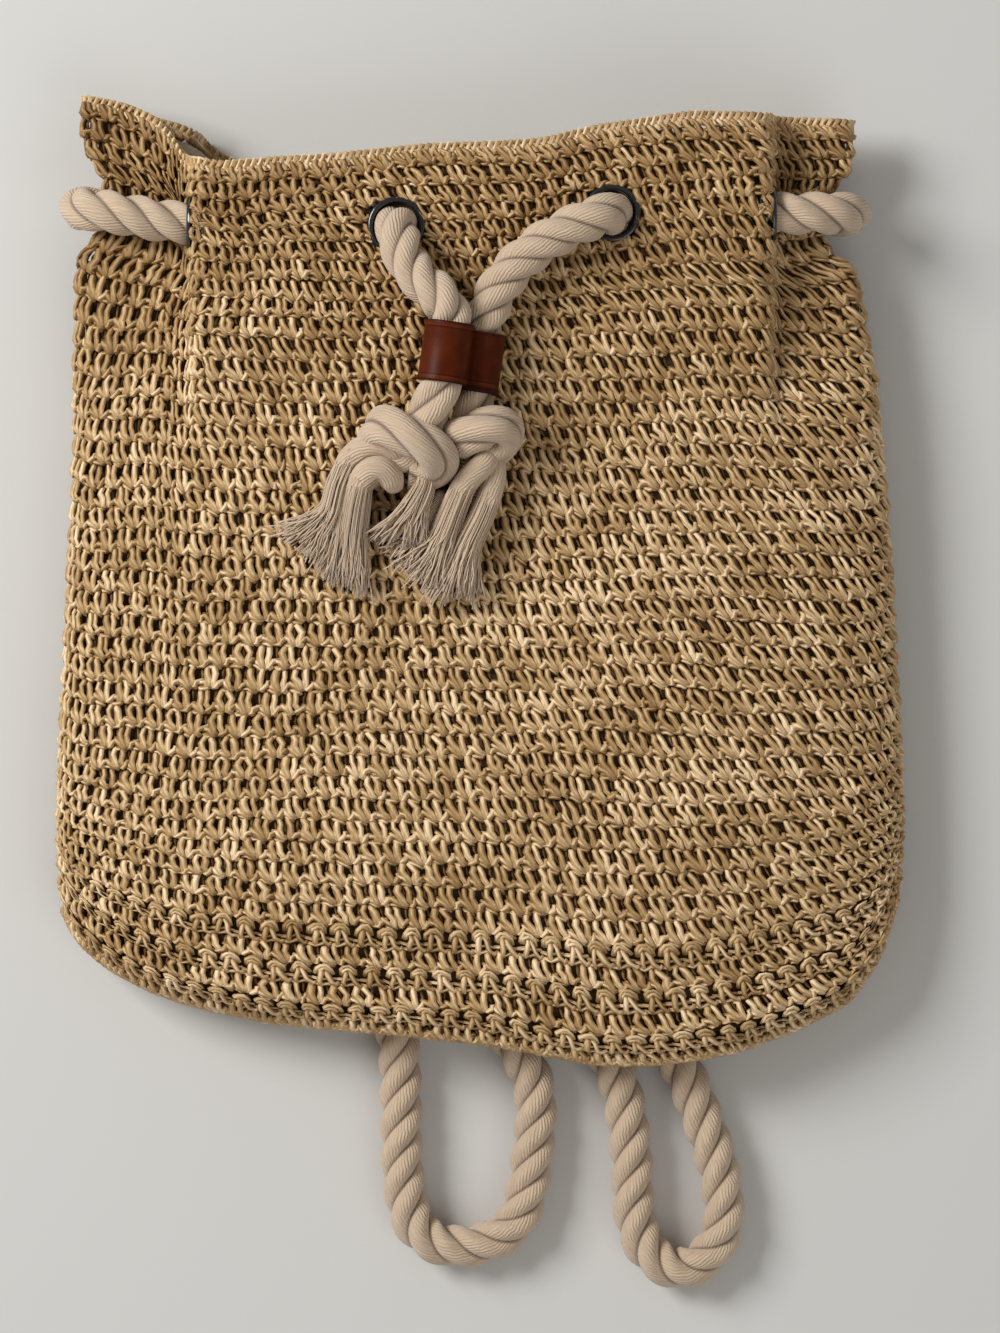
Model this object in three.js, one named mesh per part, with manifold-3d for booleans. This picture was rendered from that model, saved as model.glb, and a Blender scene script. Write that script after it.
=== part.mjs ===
// Woven straw drawstring backpack, lying on its back as it was put down.
// Millimetres. X runs across the bag, Y towards its mouth, Z up from the surface it lies on.
import * as THREE from "three";
import { mergeVertices } from "three/addons/utils/BufferGeometryUtils.js";
import Module from "manifold-3d";

const wasm = await Module();
wasm.setup();

// Driving dimensions of the bag
const BAG_WIDTH = 340;
const BAG_LENGTH = 384;
const BAG_DEPTH = 50; // height of the front panel above the floor, at the eyelets
const STRAW_WALL = 3;
const LINING_WALL = 1;
const LINING_GAP = 0.45; // between the straw and the lining
const CLEARANCE = 0.3; // between pieces that touch
const WING_HALF = 4.7; // half the thickness of the flattened side folds at the mouth
const WING_HEIGHT = 25; // height of the middle of those folds above the floor
const PLEAT_LEFT = -115; // x of the pleat wall between the left fold and the front panel
const PLEAT_RIGHT = 116.5;
const PLEAT_RADIUS = 6;
const HOLLOW_RADIUS = 6; // bend of the back wall where it rises over the ropes under it
const HOLLOW_LEAN = 1; // how far the front's columns stand outside that bend
const HOLLOW_HEIGHT = 21; // height of the back wall over the shoulder ropes
const LACED_HEIGHT = 24.3; // height of the back wall over the drawcord
const BASE_DEPTH = 13; // length over which the base closes

// Driving dimensions of the rope, the eyelets and the leather
const ROPE_DIAMETER = 17.5;
const ROPE_SIDES = 8;
const STRAND_SIDES = 6;
const DRAWCORD_STEPS = 62;
const STRAP_STEPS = 30;
const END_STEPS = 15;
const TURN_STEPS = 8;
const STRAND_STEPS = 4;
const SNUG_DIAMETER = 15.2; // rope where an eyelet or the leather holds it
const SNUG_REACH = 11.5; // how far that goes from the middle of the eyelet
const STRAND_DIAMETER = 8.6; // one of its three strands, untwisted
const NECK_DIAMETER = 9.6; // where a strand starts to fray
const LOCK_END = 4.4; // thickness of a frayed lock at its end
const LOCK_START = -0.12; // share of the lock's length that lies back inside its strand
const EYELET_BORE = 18.2;
const EYELET_OUTER = 23;
const EYELET_FLANGE = 1.2;
const EYELET_BARREL = 0.9;
const EYELET_INSET = 0.1; // from the front panel's outside to the rim of an upper pleat eyelet
const EYELET_LIFT = 0.9; // from the floor to the rim of a lower one
const LEATHER = 1.8;
const SLIDER_LENGTH = 24;
const SLIDER_TURN = 8; // degrees, from straight down the bag
const SLIDER_TILT = 44; // degrees, how far its left tube rides up on the right one
const SLIDER_CENTRE = [-7, 88, 64.9];
const SLIDER_SEGMENTS = 8;
const SEAT_DEPTH = 5; // room cut above and below an eyelet's flanges
const WELD = 0.05; // corners nearer than this are joined after a cut
const SAME_CORNER = 1e-4; // corners of one solid's faces nearer than this are the same

// Form of the body's cross section
const CROWN_FLATNESS = 3.2;
const CROWN_ROUNDNESS = 2.2;
const BACK_FLATNESS = 1.16;

// Rows of the bag's surface from the rim to the base, as shares of its length
const ROWS = [
  0, 0.055, 0.088, 0.12, 0.158, 0.19, 0.26, 0.36, 0.48, 0.6, 0.73, 0.86, 0.93, 0.962, 0.985, 0.998,
];
const LACED_V = 0.08; // the row of the eyelets round the mouth

const HALF_WIDTH = BAG_WIDTH / 2;
const HALF_LENGTH = BAG_LENGTH / 2;
const WALLS = STRAW_WALL + LINING_GAP + LINING_WALL;

// The two side edges, v from the rim to the base: x as shares of the bag's half width.
// They are drawn in where the drawcord goes round them.
const SIDES = [
  { v: 0, left: -0.946, right: 0.889 },
  { v: 0.055, left: -0.945, right: 0.882 },
  { v: 0.088, left: -0.893, right: 0.82 },
  { v: 0.158, left: -0.893, right: 0.82 },
  { v: 0.19, left: -0.952, right: 0.893 },
  { v: 0.3, left: -0.96, right: 0.928 },
  { v: 0.42, left: -0.959, right: 0.953 },
  { v: 0.6, left: -0.976, right: 0.977 },
  { v: 0.8, left: -0.995, right: 0.995 },
  { v: 0.9, left: -1, right: 1 },
  { v: 1, left: -0.99, right: 0.99 },
];

// The rim, s from -1 at the left edge to 1 at the right: y as shares of the half length.
const RIM = [
  { s: -1, front: 1, back: 1 },
  { s: -0.9, front: 0.985, back: 0.98 },
  { s: -0.81, front: 0.956, back: 0.955 },
  { s: -0.765, front: 0.917, back: 0.945 },
  { s: -0.735, front: 0.872, back: 0.94 },
  { s: -0.7, front: 0.865, back: 0.921 },
  { s: -0.64, front: 0.852, back: 0.885 },
  { s: -0.5, front: 0.862, back: 0.85 },
  { s: -0.35, front: 0.869, back: 0.85 },
  { s: -0.1, front: 0.89, back: 0.868 },
  { s: 0.1, front: 0.896, back: 0.878 },
  { s: 0.2, front: 0.902, back: 0.885 },
  { s: 0.32, front: 0.927, back: 0.912 },
  { s: 0.58, front: 0.958, back: 0.942 },
  { s: 0.79, front: 0.954, back: 0.945 },
  { s: 1, front: 0.948, back: 0.948 },
];

// The lower edge of the base: y as shares of the half length.
const BASE = [
  { s: -1, y: -0.69 },
  { s: -0.97, y: -0.75 },
  { s: -0.9, y: -0.806 },
  { s: -0.8, y: -0.854 },
  { s: -0.7, y: -0.885 },
  { s: -0.5, y: -0.923 },
  { s: -0.2, y: -0.944 },
  { s: 0.05, y: -0.969 },
  { s: 0.27, y: -1.0065 },
  { s: 0.43, y: -1.0085 },
  { s: 0.62, y: -0.983 },
  { s: 0.76, y: -0.9375 },
  { s: 0.88, y: -0.885 },
  { s: 0.95, y: -0.8 },
  { s: 1, y: -0.667 },
];

// Cross sections from the rim to the base. top: height of the front panel as a share of
// BAG_DEPTH; fold: height of the side folds as a share of WING_HEIGHT; pleat: how far the
// section has the pleats of the drawn mouth.
const SECTIONS = [
  { v: 0, top: 0.94, fold: 1, pleat: 1 },
  { v: 0.055, top: 1, fold: 1, pleat: 1 },
  { v: 0.158, top: 1, fold: 1, pleat: 1 },
  { v: 0.19, top: 0.98, fold: 0.95, pleat: 0.88 },
  { v: 0.26, top: 0.95, fold: 0.78, pleat: 0.45 },
  { v: 0.36, top: 0.93, fold: 0.6, pleat: 0 },
  { v: 0.6, top: 0.9, fold: 0.5, pleat: 0 },
  { v: 0.8, top: 0.92, fold: 0.5, pleat: 0 },
  { v: 0.9, top: 0.88, fold: 0.52, pleat: 0 },
  { v: 1, top: 0.8, fold: 0.54, pleat: 0 },
];

// The hollow of the back wall over the ropes under it: its two sides as shares of the half
// width, and how far it rises to the shoulder ropes' height and to the drawcord's.
const HOLLOWS = [
  { v: 0, left: -0.106, right: 0.212, strap: 0, laced: 0.85 },
  { v: 0.055, left: -0.106, right: 0.212, strap: 0, laced: 1 },
  { v: 0.088, left: -0.106, right: 0.212, strap: 0, laced: 1 },
  { v: 0.12, left: -0.23, right: 0.27, strap: 1, laced: 0 },
  { v: 0.19, left: -0.25, right: 0.32, strap: 1, laced: 0 },
  { v: 0.6, left: -0.27, right: 0.38, strap: 1, laced: 0 },
  { v: 0.78, left: -0.33, right: 0.5, strap: 1, laced: 0 },
  { v: 0.87, left: -0.38, right: 0.58, strap: 1, laced: 0 },
  { v: 1, left: -0.38, right: 0.58, strap: 0.95, laced: 0 },
];

// Soft hollows and puffs of the front panel: place and reach as shares of the half width
// and half length, rise as a share of BAG_DEPTH.
const DENTS = [
  { x: -0.45, y: 0.52, reach: 0.3, rise: -0.1 },
  { x: 0.5, y: 0.56, reach: 0.26, rise: -0.08 },
  { x: -0.62, y: -0.1, reach: 0.34, rise: 0.05 },
  { x: 0.1, y: -0.22, reach: 0.3, rise: -0.06 },
  { x: 0.62, y: -0.15, reach: 0.3, rise: 0.05 },
  { x: -0.3, y: -0.55, reach: 0.36, rise: 0.06 },
  { x: 0.35, y: -0.6, reach: 0.34, rise: 0.06 },
  { x: 0, y: -0.82, reach: 0.22, rise: -0.05 },
];

// Eyelets: the wall each sits in, and its place: x and y as shares of the half width and
// half length, and for one that faces along X whether it is at the top or at the floor.
const EYELETS = [
  { name: "eyelet_front_left", wall: "front", x: -0.1953, y: 0.7313 },
  { name: "eyelet_front_right", wall: "front", x: 0.3082, y: 0.7563 },
  { name: "eyelet_side_left_upper", wall: "left", y: 0.7385, high: true },
  { name: "eyelet_side_left_lower", wall: "left", y: 0.7839, high: false },
  { name: "eyelet_side_right_upper", wall: "right", y: 0.7604, high: true },
  { name: "eyelet_side_right_lower", wall: "right", y: 0.7708, high: false },
  { name: "eyelet_back_left", wall: "laced_left", y: 0.7734, high: false },
  { name: "eyelet_back_right", wall: "laced_right", y: 0.7708, high: false },
  { name: "eyelet_strap_left_top", wall: "back", x: -0.0941, y: 0.6042 },
  { name: "eyelet_strap_right_top", wall: "back", x: 0.0941, y: 0.6042 },
  { name: "eyelet_strap_left_low", wall: "back", x: -0.2765, y: -0.7292 },
  { name: "eyelet_strap_right_low", wall: "back", x: 0.3353, y: -0.7292 },
];

// The drawcord's route, from the left front eyelet round the bag to the right one.
const DRAWCORD = [
  [-33.2, 140.4, 47.7], [-33.2, 140.4, 45], [-36.1, 140.5, 37.9], [-43.2, 140.7, 35],
  [-72, 141.2, 35.2], [-98, 141.5, 36.1], [-113, 141.8, 38.2], [-130, 143.5, 39.1],
  [-146.5, 146.5, 39.3], [-156.6, 148, 35.1], [-160.8, 149, 25.1], [-156.6, 150, 15.1],
  [-146.5, 150.5, 10.9], [-130, 150.6, 11], [-113, 150.5, 12.4], [-98, 150, 13.6],
  [-60, 149, 13.7], [-36, 148.5, 13.4], [-20, 148.5, 12.4], [-8, 148.5, 10.4],
  [9, 148.4, 9.5], [26, 148.2, 10.4], [38, 148, 12.4], [54, 148, 13.4],
  [84, 148, 13.7], [100, 148, 13.5], [114.3, 148, 12.4], [125, 147.8, 11.2],
  [134.6, 147.5, 10.9], [144.6, 147, 15.1], [148.7, 146.6, 25.1], [144.6, 146.2, 35.1],
  [134.6, 146, 39.3], [127, 146, 39.2], [114.3, 146, 38.2], [98, 145.8, 36.1],
  [80, 145.4, 35.2], [62.4, 145.3, 35], [55.3, 145.2, 37.9], [52.4, 145.2, 45],
  [52.4, 145.2, 47.7],
];

// The two free ends over the front panel, from their eyelets through the leather into
// their knots, then the turn of each knot that shows.
const LEFT_END = [
  [-33.2, 140.4, 48], [-33.2, 140.4, 50.5], [-32.6, 137.5, 57.6], [-31.2, 130.6, 61],
  [-26, 120.5, 64], [-17, 112.5, 69.5], [-11.2, 104.2, 71.1], [-13.3, 88.9, 71.1],
  [-15.2, 76, 71.1], [-19, 67, 68], [-25, 57, 61], [-30, 50, 56.5],
];
const RIGHT_END = [
  [52.4, 145.2, 48], [52.4, 145.2, 50.5], [49.7, 144.2, 57.6], [43, 141.8, 60.6],
  [32, 137, 60.6], [18, 127.5, 60], [7, 114.5, 59.6], [1.1, 100, 58.7], [-0.7, 87.1, 58.7],
  [-2.5, 74.2, 58.7], [-3.5, 65, 57.5], [-4, 56, 56],
];
const LEFT_TURN = [
  [-30, 45, 57], [-39.5, 50, 58.5], [-41.5, 59, 64.5], [-35, 62, 71], [-25.5, 56, 74],
  [-16.5, 48.5, 71], [-13.5, 42.5, 62.5], [-19, 40.5, 56.5], [-27, 43, 55.5],
];
const RIGHT_TURN = [
  [-4, 49, 56], [-7, 56, 61], [-3, 60.5, 67], [5, 62.5, 68.5], [13, 63, 65.5],
  [17, 59.5, 59], [12, 53.5, 56], [3, 50, 55.5],
];

// Untwisted strands below the knots: route, then the frayed lock that each ends in.
// The lock's end is given by its two corners; thin is its thickness at the end.
const LEFT_STRANDS = [
  {
    route: [[-28, 46, 58], [-38, 46, 60], [-47, 44, 58], [-52.5, 36, 54.5]],
    lock: [[-79, 22, 49], [-61, 3, 49]],
  },
  {
    route: [[-31, 45, 56], [-38, 42, 63], [-40.5, 37, 63], [-40, 32, 58]],
    lock: [[-57, -2, 50], [-43, 0, 50]],
  },
  {
    route: [[-26, 44, 57], [-24, 40, 60], [-28, 36.5, 58], [-32, 34, 55]],
    lock: [[-25, 22, 51], [-19, 33, 53]],
  },
];
const RIGHT_STRANDS = [
  {
    route: [[0, 52, 56], [3, 46, 58], [-1, 40, 57], [-5, 34, 55]],
    lock: [[-23, 12, 50], [-10, 9, 51]],
  },
  {
    route: [[3, 50, 56], [5, 42, 56], [4, 32, 54], [1, 22, 52.5]],
    lock: [[-15, -6, 50], [-1, -5, 50]],
  },
  {
    route: [[-4, 50, 54], [-14, 38, 53], [-21, 28, 52.5], [-24, 21, 52]],
    lock: [[-34, 11, 49.5], [-21, 8, 49.5]],
  },
];

// The shoulder ropes, from the upper eyelet down under the back, round the loop that
// shows below the base, and up to the lower eyelet.
const STRAP_LEFT = [
  [-16, 116, 19.1], [-16, 116, 18.3], [-15.9, 113.3, 11.8], [-15.7, 106.8, 9.1],
  [-15, 96, 9.1], [-12, 60, 9.1],
  [-9, 0, 9.1], [-7, -60, 9.1], [-5, -110, 9.1], [-1, -145, 9.1], [6, -172, 9.1],
  [14, -188, 9.1], [20.4, -198.4, 9.1], [22.4, -212.8, 9.1], [21.4, -228.4, 9.1],
  [18.8, -246.4, 9.1], [13.6, -260, 9.1], [3.6, -266.8, 9.1], [-8, -268.8, 9.1],
  [-19.2, -266.8, 9.1], [-26.8, -260, 9.1], [-31.2, -240.8, 9.1], [-32, -212.8, 9.1],
  [-33.5, -184, 9.1], [-40, -164, 9.1], [-46, -149.2, 9.1], [-46.9, -142.7, 11.8],
  [-47, -140, 18.3], [-47, -140, 19.1],
];
const STRAP_RIGHT = [
  [16, 116, 19.1], [16, 116, 18.3], [16, 113.3, 11.8], [16, 106.8, 9.1],
  [16.4, 96, 9.1], [18, 60, 9.1],
  [22, 0, 9.1], [26, -60, 9.1], [30, -110, 9.1], [34.5, -142, 9.1], [41, -166, 9.1],
  [49, -187, 9.1], [54.4, -197.2, 9.1], [58.4, -212.8, 9.1], [61.2, -235.2, 9.1],
  [61.8, -253.2, 9.1], [65.2, -266.8, 9.1], [73, -275.6, 9.1], [82, -278, 9.1],
  [92, -272.4, 9.1], [97.6, -263.2, 9.1], [97.6, -246.4, 9.1], [94.4, -230.8, 9.1],
  [88.8, -215.2, 9.1], [83.2, -200.4, 9.1], [74.5, -184, 9.1], [64.5, -165, 9.1],
  [58, -149.2, 9.1], [57.1, -142.7, 11.8], [57, -140, 18.3], [57, -140, 19.1],
];

// A table's column at a place between two of its rows.
function read(table, key, column, at) {
  const next = table.findIndex((row) => row[key] >= at);
  if (next <= 0) return next < 0 ? table[table.length - 1][column] : table[0][column];
  const low = table[next - 1];
  const high = table[next];
  const share = (at - low[key]) / (high[key] - low[key]);
  return low[column] + (high[column] - low[column]) * share;
}

// A wall that rises between two levels with a bend at its foot and one at its head.
function risingWall(t, rise, footRadius, headRadius) {
  const flat = 0.1;
  const bend = (1 - flat) / 2;
  const squash = Math.min(1, Math.abs(rise) / (footRadius + headRadius));
  const up = Math.sign(rise) || 1;
  const foot = up * squash * footRadius;
  const head = rise - up * squash * headRadius;
  if (t <= bend) {
    const angle = ((t / bend) * Math.PI) / 2;
    return { x: footRadius * (Math.sin(angle) - 1), z: foot * (1 - Math.cos(angle)) };
  }
  if (t >= 1 - bend) {
    const angle = (((1 - t) / bend) * Math.PI) / 2;
    return { x: headRadius * (1 - Math.sin(angle)), z: rise - (rise - head) * (1 - Math.cos(angle)) };
  }
  return { x: 0, z: foot + ((head - foot) * (t - bend)) / flat };
}

// Columns across the bag: each span between two folds, and the shares that divide it.
const EDGE_TO_PLEAT = [0, 0.04, 0.25];
const PLEAT_TO_EDGE = [0, 0.75, 0.96];
const WALL_STEPS = [0, 0.45, 0.55];
const WHOLE = [0];
const THIRDS = [0, 0.33, 0.67];
const SPANS = [
  { kind: "left_fold", shares: EDGE_TO_PLEAT },
  { kind: "left_pleat", shares: WALL_STEPS },
  { kind: "left_floor", shares: WHOLE },
  { kind: "left_hollow", shares: WALL_STEPS },
  { kind: "hollow", shares: THIRDS },
  { kind: "right_hollow", shares: WALL_STEPS },
  { kind: "right_floor", shares: WHOLE },
  { kind: "right_pleat", shares: WALL_STEPS },
  { kind: "right_fold", shares: [...PLEAT_TO_EDGE, 1] },
];
const COLUMNS = SPANS.flatMap(({ kind, shares }) => shares.map((share) => ({ kind, share })));

// The sizes of one cross section at v, for a surface inset from the bag's outer one.
function sectionAt(v, inset) {
  const wing = WING_HALF - inset;
  const fold = read(SECTIONS, "v", "fold", v) * WING_HEIGHT;
  return {
    v,
    inset,
    wing,
    fold,
    left: read(SIDES, "v", "left", v) * HALF_WIDTH + inset,
    right: read(SIDES, "v", "right", v) * HALF_WIDTH - inset,
    top: read(SECTIONS, "v", "top", v) * BAG_DEPTH - inset,
    pleat: read(SECTIONS, "v", "pleat", v),
    rise: read(HOLLOWS, "v", "strap", v) * HOLLOW_HEIGHT + read(HOLLOWS, "v", "laced", v) * LACED_HEIGHT,
    hollowLeft: read(HOLLOWS, "v", "left", v) * HALF_WIDTH - inset,
    hollowRight: read(HOLLOWS, "v", "right", v) * HALF_WIDTH + inset,
    pleatLeft: PLEAT_LEFT + inset,
    pleatRight: PLEAT_RIGHT - inset,
    foot: PLEAT_RADIUS + inset,
    head: PLEAT_RADIUS - inset,
    brow: HOLLOW_RADIUS + inset,
    sill: HOLLOW_RADIUS - inset,
  };
}

// One column of a section while the mouth is drawn: x and z of the front and of the back,
// and the height of what the back lies on there.
function drawnColumn(row, { kind, share }) {
  const onLeft = kind.startsWith("left");
  const t = onLeft ? share : 1 - share;
  const floor = row.inset;
  if (kind.endsWith("fold")) {
    const x = onLeft
      ? THREE.MathUtils.lerp(row.left, row.pleatLeft - row.foot, share)
      : THREE.MathUtils.lerp(row.right, row.pleatRight + row.foot, t);
    const half = row.wing * roundedEdge(row, x);
    return { x, backX: x, front: row.fold + half, back: row.fold - half, floor };
  }
  if (kind.endsWith("pleat")) {
    const up = risingWall(t, row.top - row.fold - row.wing, row.foot, row.head);
    const down = risingWall(t, row.inset - row.fold + row.wing, row.foot, row.head);
    const x = onLeft ? row.pleatLeft + up.x : row.pleatRight - up.x;
    return { x, backX: x, front: row.fold + row.wing + up.z, back: row.fold - row.wing + down.z, floor };
  }
  const [from, to] = {
    left_floor: [row.pleatLeft + row.head, row.hollowLeft - row.sill],
    left_hollow: [row.hollowLeft - row.sill, row.hollowLeft + row.brow],
    hollow: [row.hollowLeft + row.brow, row.hollowRight - row.brow],
    right_hollow: [row.hollowRight + row.sill, row.hollowRight - row.brow],
    right_floor: [row.pleatRight - row.head, row.hollowRight + row.sill],
  }[kind];
  const x = THREE.MathUtils.lerp(from, to, t);
  if (kind === "hollow") {
    const middle = THREE.MathUtils.lerp(from, to, share);
    return { x: middle, backX: middle, front: row.top, back: floor + row.rise, floor: floor + row.rise };
  }
  if (kind.endsWith("floor")) return { x, backX: x, front: row.top, back: floor, floor };
  const wall = risingWall(t, row.rise, row.sill, row.brow);
  const outward = onLeft ? -1 : 1;
  const backX = (onLeft ? row.hollowLeft : row.hollowRight) - outward * wall.x;
  const frontX = backX + outward * (1 - t) * HOLLOW_LEAN;
  return { x: frontX, backX, front: row.top, back: floor + wall.z, floor: floor + wall.z };
}

// 0 at the side edges and 1 where the fold there has its full thickness.
function roundedEdge(row, x) {
  const edge = Math.max(0, Math.min(1, (x - row.left) / row.wing, (row.right - x) / row.wing));
  return Math.sqrt(1 - (1 - edge) ** 2);
}

// The bag's front and back points in one column: the drawn section blends into the crowned
// one of the body, the front has its dents, and the base closes.
function bagPoints(row, column) {
  const drawn = drawnColumn(row, column);
  const point = (x, drawnZ, isFront) => {
    const s = (2 * (x - row.left)) / (row.right - row.left) - 1;
    const p = Math.min(1, Math.abs(s));
    const crown = Math.pow(1 - Math.pow(p, CROWN_FLATNESS), 1 / CROWN_ROUNDNESS);
    const half = row.wing * roundedEdge(row, x);
    const crowned = isFront
      ? row.fold + half + (row.top - row.fold - row.wing) * crown
      : row.fold - half - (row.fold - row.wing - drawn.floor) * Math.min(1, crown * BACK_FLATNESS);
    const rimY = read(RIM, "s", isFront ? "front" : "back", s) * HALF_LENGTH;
    const baseY = read(BASE, "s", "y", s) * HALF_LENGTH + row.inset;
    const y = THREE.MathUtils.lerp(rimY, baseY, row.v);
    let z = THREE.MathUtils.lerp(crowned, drawnZ, row.pleat);
    if (isFront) {
      for (const dent of DENTS) {
        const far = Math.hypot(x / HALF_WIDTH - dent.x, y / HALF_LENGTH - dent.y) / dent.reach;
        z += dent.rise * BAG_DEPTH * Math.exp(-far * far) * crown * (1 - row.pleat);
      }
    }
    const closed = Math.max(0, 1 - ((1 - row.v) * (rimY - baseY)) / BASE_DEPTH);
    const middle = THREE.MathUtils.lerp(row.fold, (row.top + drawn.floor) / 2, crown);
    z = middle + (z - middle) * Math.sqrt(1 - closed ** 2);
    return new THREE.Vector3(x, y, z);
  };
  return [point(drawn.x, drawn.front, true), point(drawn.backX, drawn.back, false)];
}

// A closed solid from rings of points, with its two end faces.
function geometryOf(points, faces) {
  const positions = new Float32Array(points.flatMap((point) => [point.x, point.y, point.z]));
  const geometry = new THREE.BufferGeometry();
  geometry.setAttribute("position", new THREE.BufferAttribute(positions, 3));
  let volume = 0;
  for (const [a, b, c] of faces) volume += points[a].dot(points[b].clone().cross(points[c]));
  geometry.setIndex(faces.flatMap(([a, b, c]) => (volume < 0 ? [a, c, b] : [a, b, c])));
  return geometry;
}

// One layer of the bag between two insets, open at the mouth.
function bagLayer(rows, outerInset, innerInset) {
  const points = [];
  const faces = [];
  const around = 2 * COLUMNS.length - 2;
  const quad = (a, b, c, d) => faces.push([a, b, c], [a, c, d]);
  for (const inset of [outerInset, innerInset]) {
    for (const v of rows) {
      const row = sectionAt(v, inset);
      const pairs = COLUMNS.map((column) => bagPoints(row, column));
      points.push(...pairs.map(([front]) => front));
      points.push(...pairs.slice(1, -1).map(([, back]) => back).reverse());
    }
  }
  const at = (layer, row, step) => (layer * rows.length + row) * around + (step % around);
  const last = rows.length - 1;
  for (let step = 0; step < around; step++) {
    for (let row = 0; row < last; row++) {
      quad(at(0, row, step), at(0, row + 1, step), at(0, row + 1, step + 1), at(0, row, step + 1));
      quad(at(1, row, step), at(1, row, step + 1), at(1, row + 1, step + 1), at(1, row + 1, step));
    }
    quad(at(0, 0, step), at(0, 0, step + 1), at(1, 0, step + 1), at(1, 0, step));
  }
  for (let step = 0; step < COLUMNS.length - 1; step++) {
    const [a, b, c, d] = [step, step + 1, around - step - 1, around - step];
    quad(at(0, last, a), at(0, last, d), at(0, last, c), at(0, last, b));
    quad(at(1, last, a), at(1, last, b), at(1, last, c), at(1, last, d));
  }
  return geometryOf(points, faces.filter(([a, b, c]) => a !== b && b !== c && a !== c));
}

// A rope along a route, thinner where an eyelet or the leather holds it.
function rope(route, steps, { diameter = ROPE_DIAMETER, sides = ROPE_SIDES, snug = [] } = {}) {
  const curve = new THREE.CatmullRomCurve3(route.map((point) => new THREE.Vector3(...point)));
  const { normals, binormals } = curve.computeFrenetFrames(steps, false);
  const points = [];
  const faces = [];
  for (let i = 0; i <= steps; i++) {
    const centre = curve.getPointAt(i / steps);
    const held = snug.some((place) => centre.distanceTo(place) < SNUG_REACH);
    const radius = (held ? SNUG_DIAMETER : diameter) / 2;
    for (let side = 0; side < sides; side++) {
      const angle = (2 * Math.PI * side) / sides;
      points.push(centre.clone().addScaledVector(normals[i], radius * Math.cos(angle))
        .addScaledVector(binormals[i], radius * Math.sin(angle)));
    }
  }
  for (let i = 0; i < steps; i++) {
    for (let side = 0; side < sides; side++) {
      const a = i * sides + side;
      const b = i * sides + ((side + 1) % sides);
      faces.push([a, b, b + sides], [a, b + sides, a + sides]);
    }
  }
  for (let side = 1; side < sides - 1; side++) {
    faces.push([0, side + 1, side]);
    faces.push([steps * sides, steps * sides + side, steps * sides + side + 1]);
  }
  return geometryOf(points, faces);
}

// A frayed lock: a round neck at the strand's end that spreads flat to two corners.
function lock(neck, corners, grown) {
  const [left, right] = corners.map((corner) => new THREE.Vector3(...corner));
  const end = left.clone().add(right).multiplyScalar(0.5);
  const along = end.clone().sub(neck);
  const across = right.clone().sub(left).multiplyScalar(0.5);
  const up = new THREE.Vector3().crossVectors(across, along).normalize();
  if (up.z < 0) up.negate();
  const side = new THREE.Vector3().crossVectors(along, up).normalize();
  if (side.dot(across) < 0) side.negate();
  const sides = STRAND_SIDES;
  const shares = [LOCK_START, 0.4, 1];
  const points = [];
  const faces = [];
  shares.forEach((share) => {
    const spread = Math.max(0, share);
    const wide = side.clone().multiplyScalar(NECK_DIAMETER / 2).lerp(across, spread);
    wide.setLength(wide.length() + grown);
    const thick = THREE.MathUtils.lerp(NECK_DIAMETER / 2, LOCK_END / 2, spread) + grown;
    const centre = neck.clone().addScaledVector(along, share);
    for (let step = 0; step < sides; step++) {
      const angle = (2 * Math.PI * step) / sides;
      points.push(centre.clone().addScaledVector(wide, Math.cos(angle))
        .addScaledVector(up, thick * Math.sin(angle)));
    }
  });
  for (let row = 0; row < shares.length - 1; row++) {
    for (let step = 0; step < sides; step++) {
      const a = row * sides + step;
      const b = row * sides + ((step + 1) % sides);
      faces.push([a, b, b + sides], [a, b + sides, a + sides]);
    }
  }
  const last = (shares.length - 1) * sides;
  for (let step = 1; step < sides - 1; step++) {
    faces.push([0, step + 1, step]);
    faces.push([last, last + step, last + step + 1]);
  }
  return geometryOf(points, faces);
}

// Solids for joining and cutting.
function solidOf(geometry) {
  const bare = new THREE.BufferGeometry();
  bare.setAttribute("position", geometry.getAttribute("position"));
  if (geometry.index) bare.setIndex(geometry.index);
  const merged = mergeVertices(bare, SAME_CORNER);
  return new wasm.Manifold(new wasm.Mesh({
    numProp: 3,
    vertProperties: new Float32Array(merged.getAttribute("position").array),
    triVerts: new Uint32Array(merged.index.array),
  }));
}

function geometryFrom(solid) {
  const mesh = solid.getMesh();
  const geometry = new THREE.BufferGeometry();
  geometry.setAttribute("position", new THREE.BufferAttribute(mesh.vertProperties, 3));
  geometry.setIndex(new THREE.BufferAttribute(mesh.triVerts, 1));
  return geometry;
}

// The largest body, without loose crumbs that a cut leaves or hollows closed inside a join.
function mainBody(solid) {
  return solid.simplify(WELD).decompose().sort((a, b) => b.volume() - a.volume())[0];
}

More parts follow.
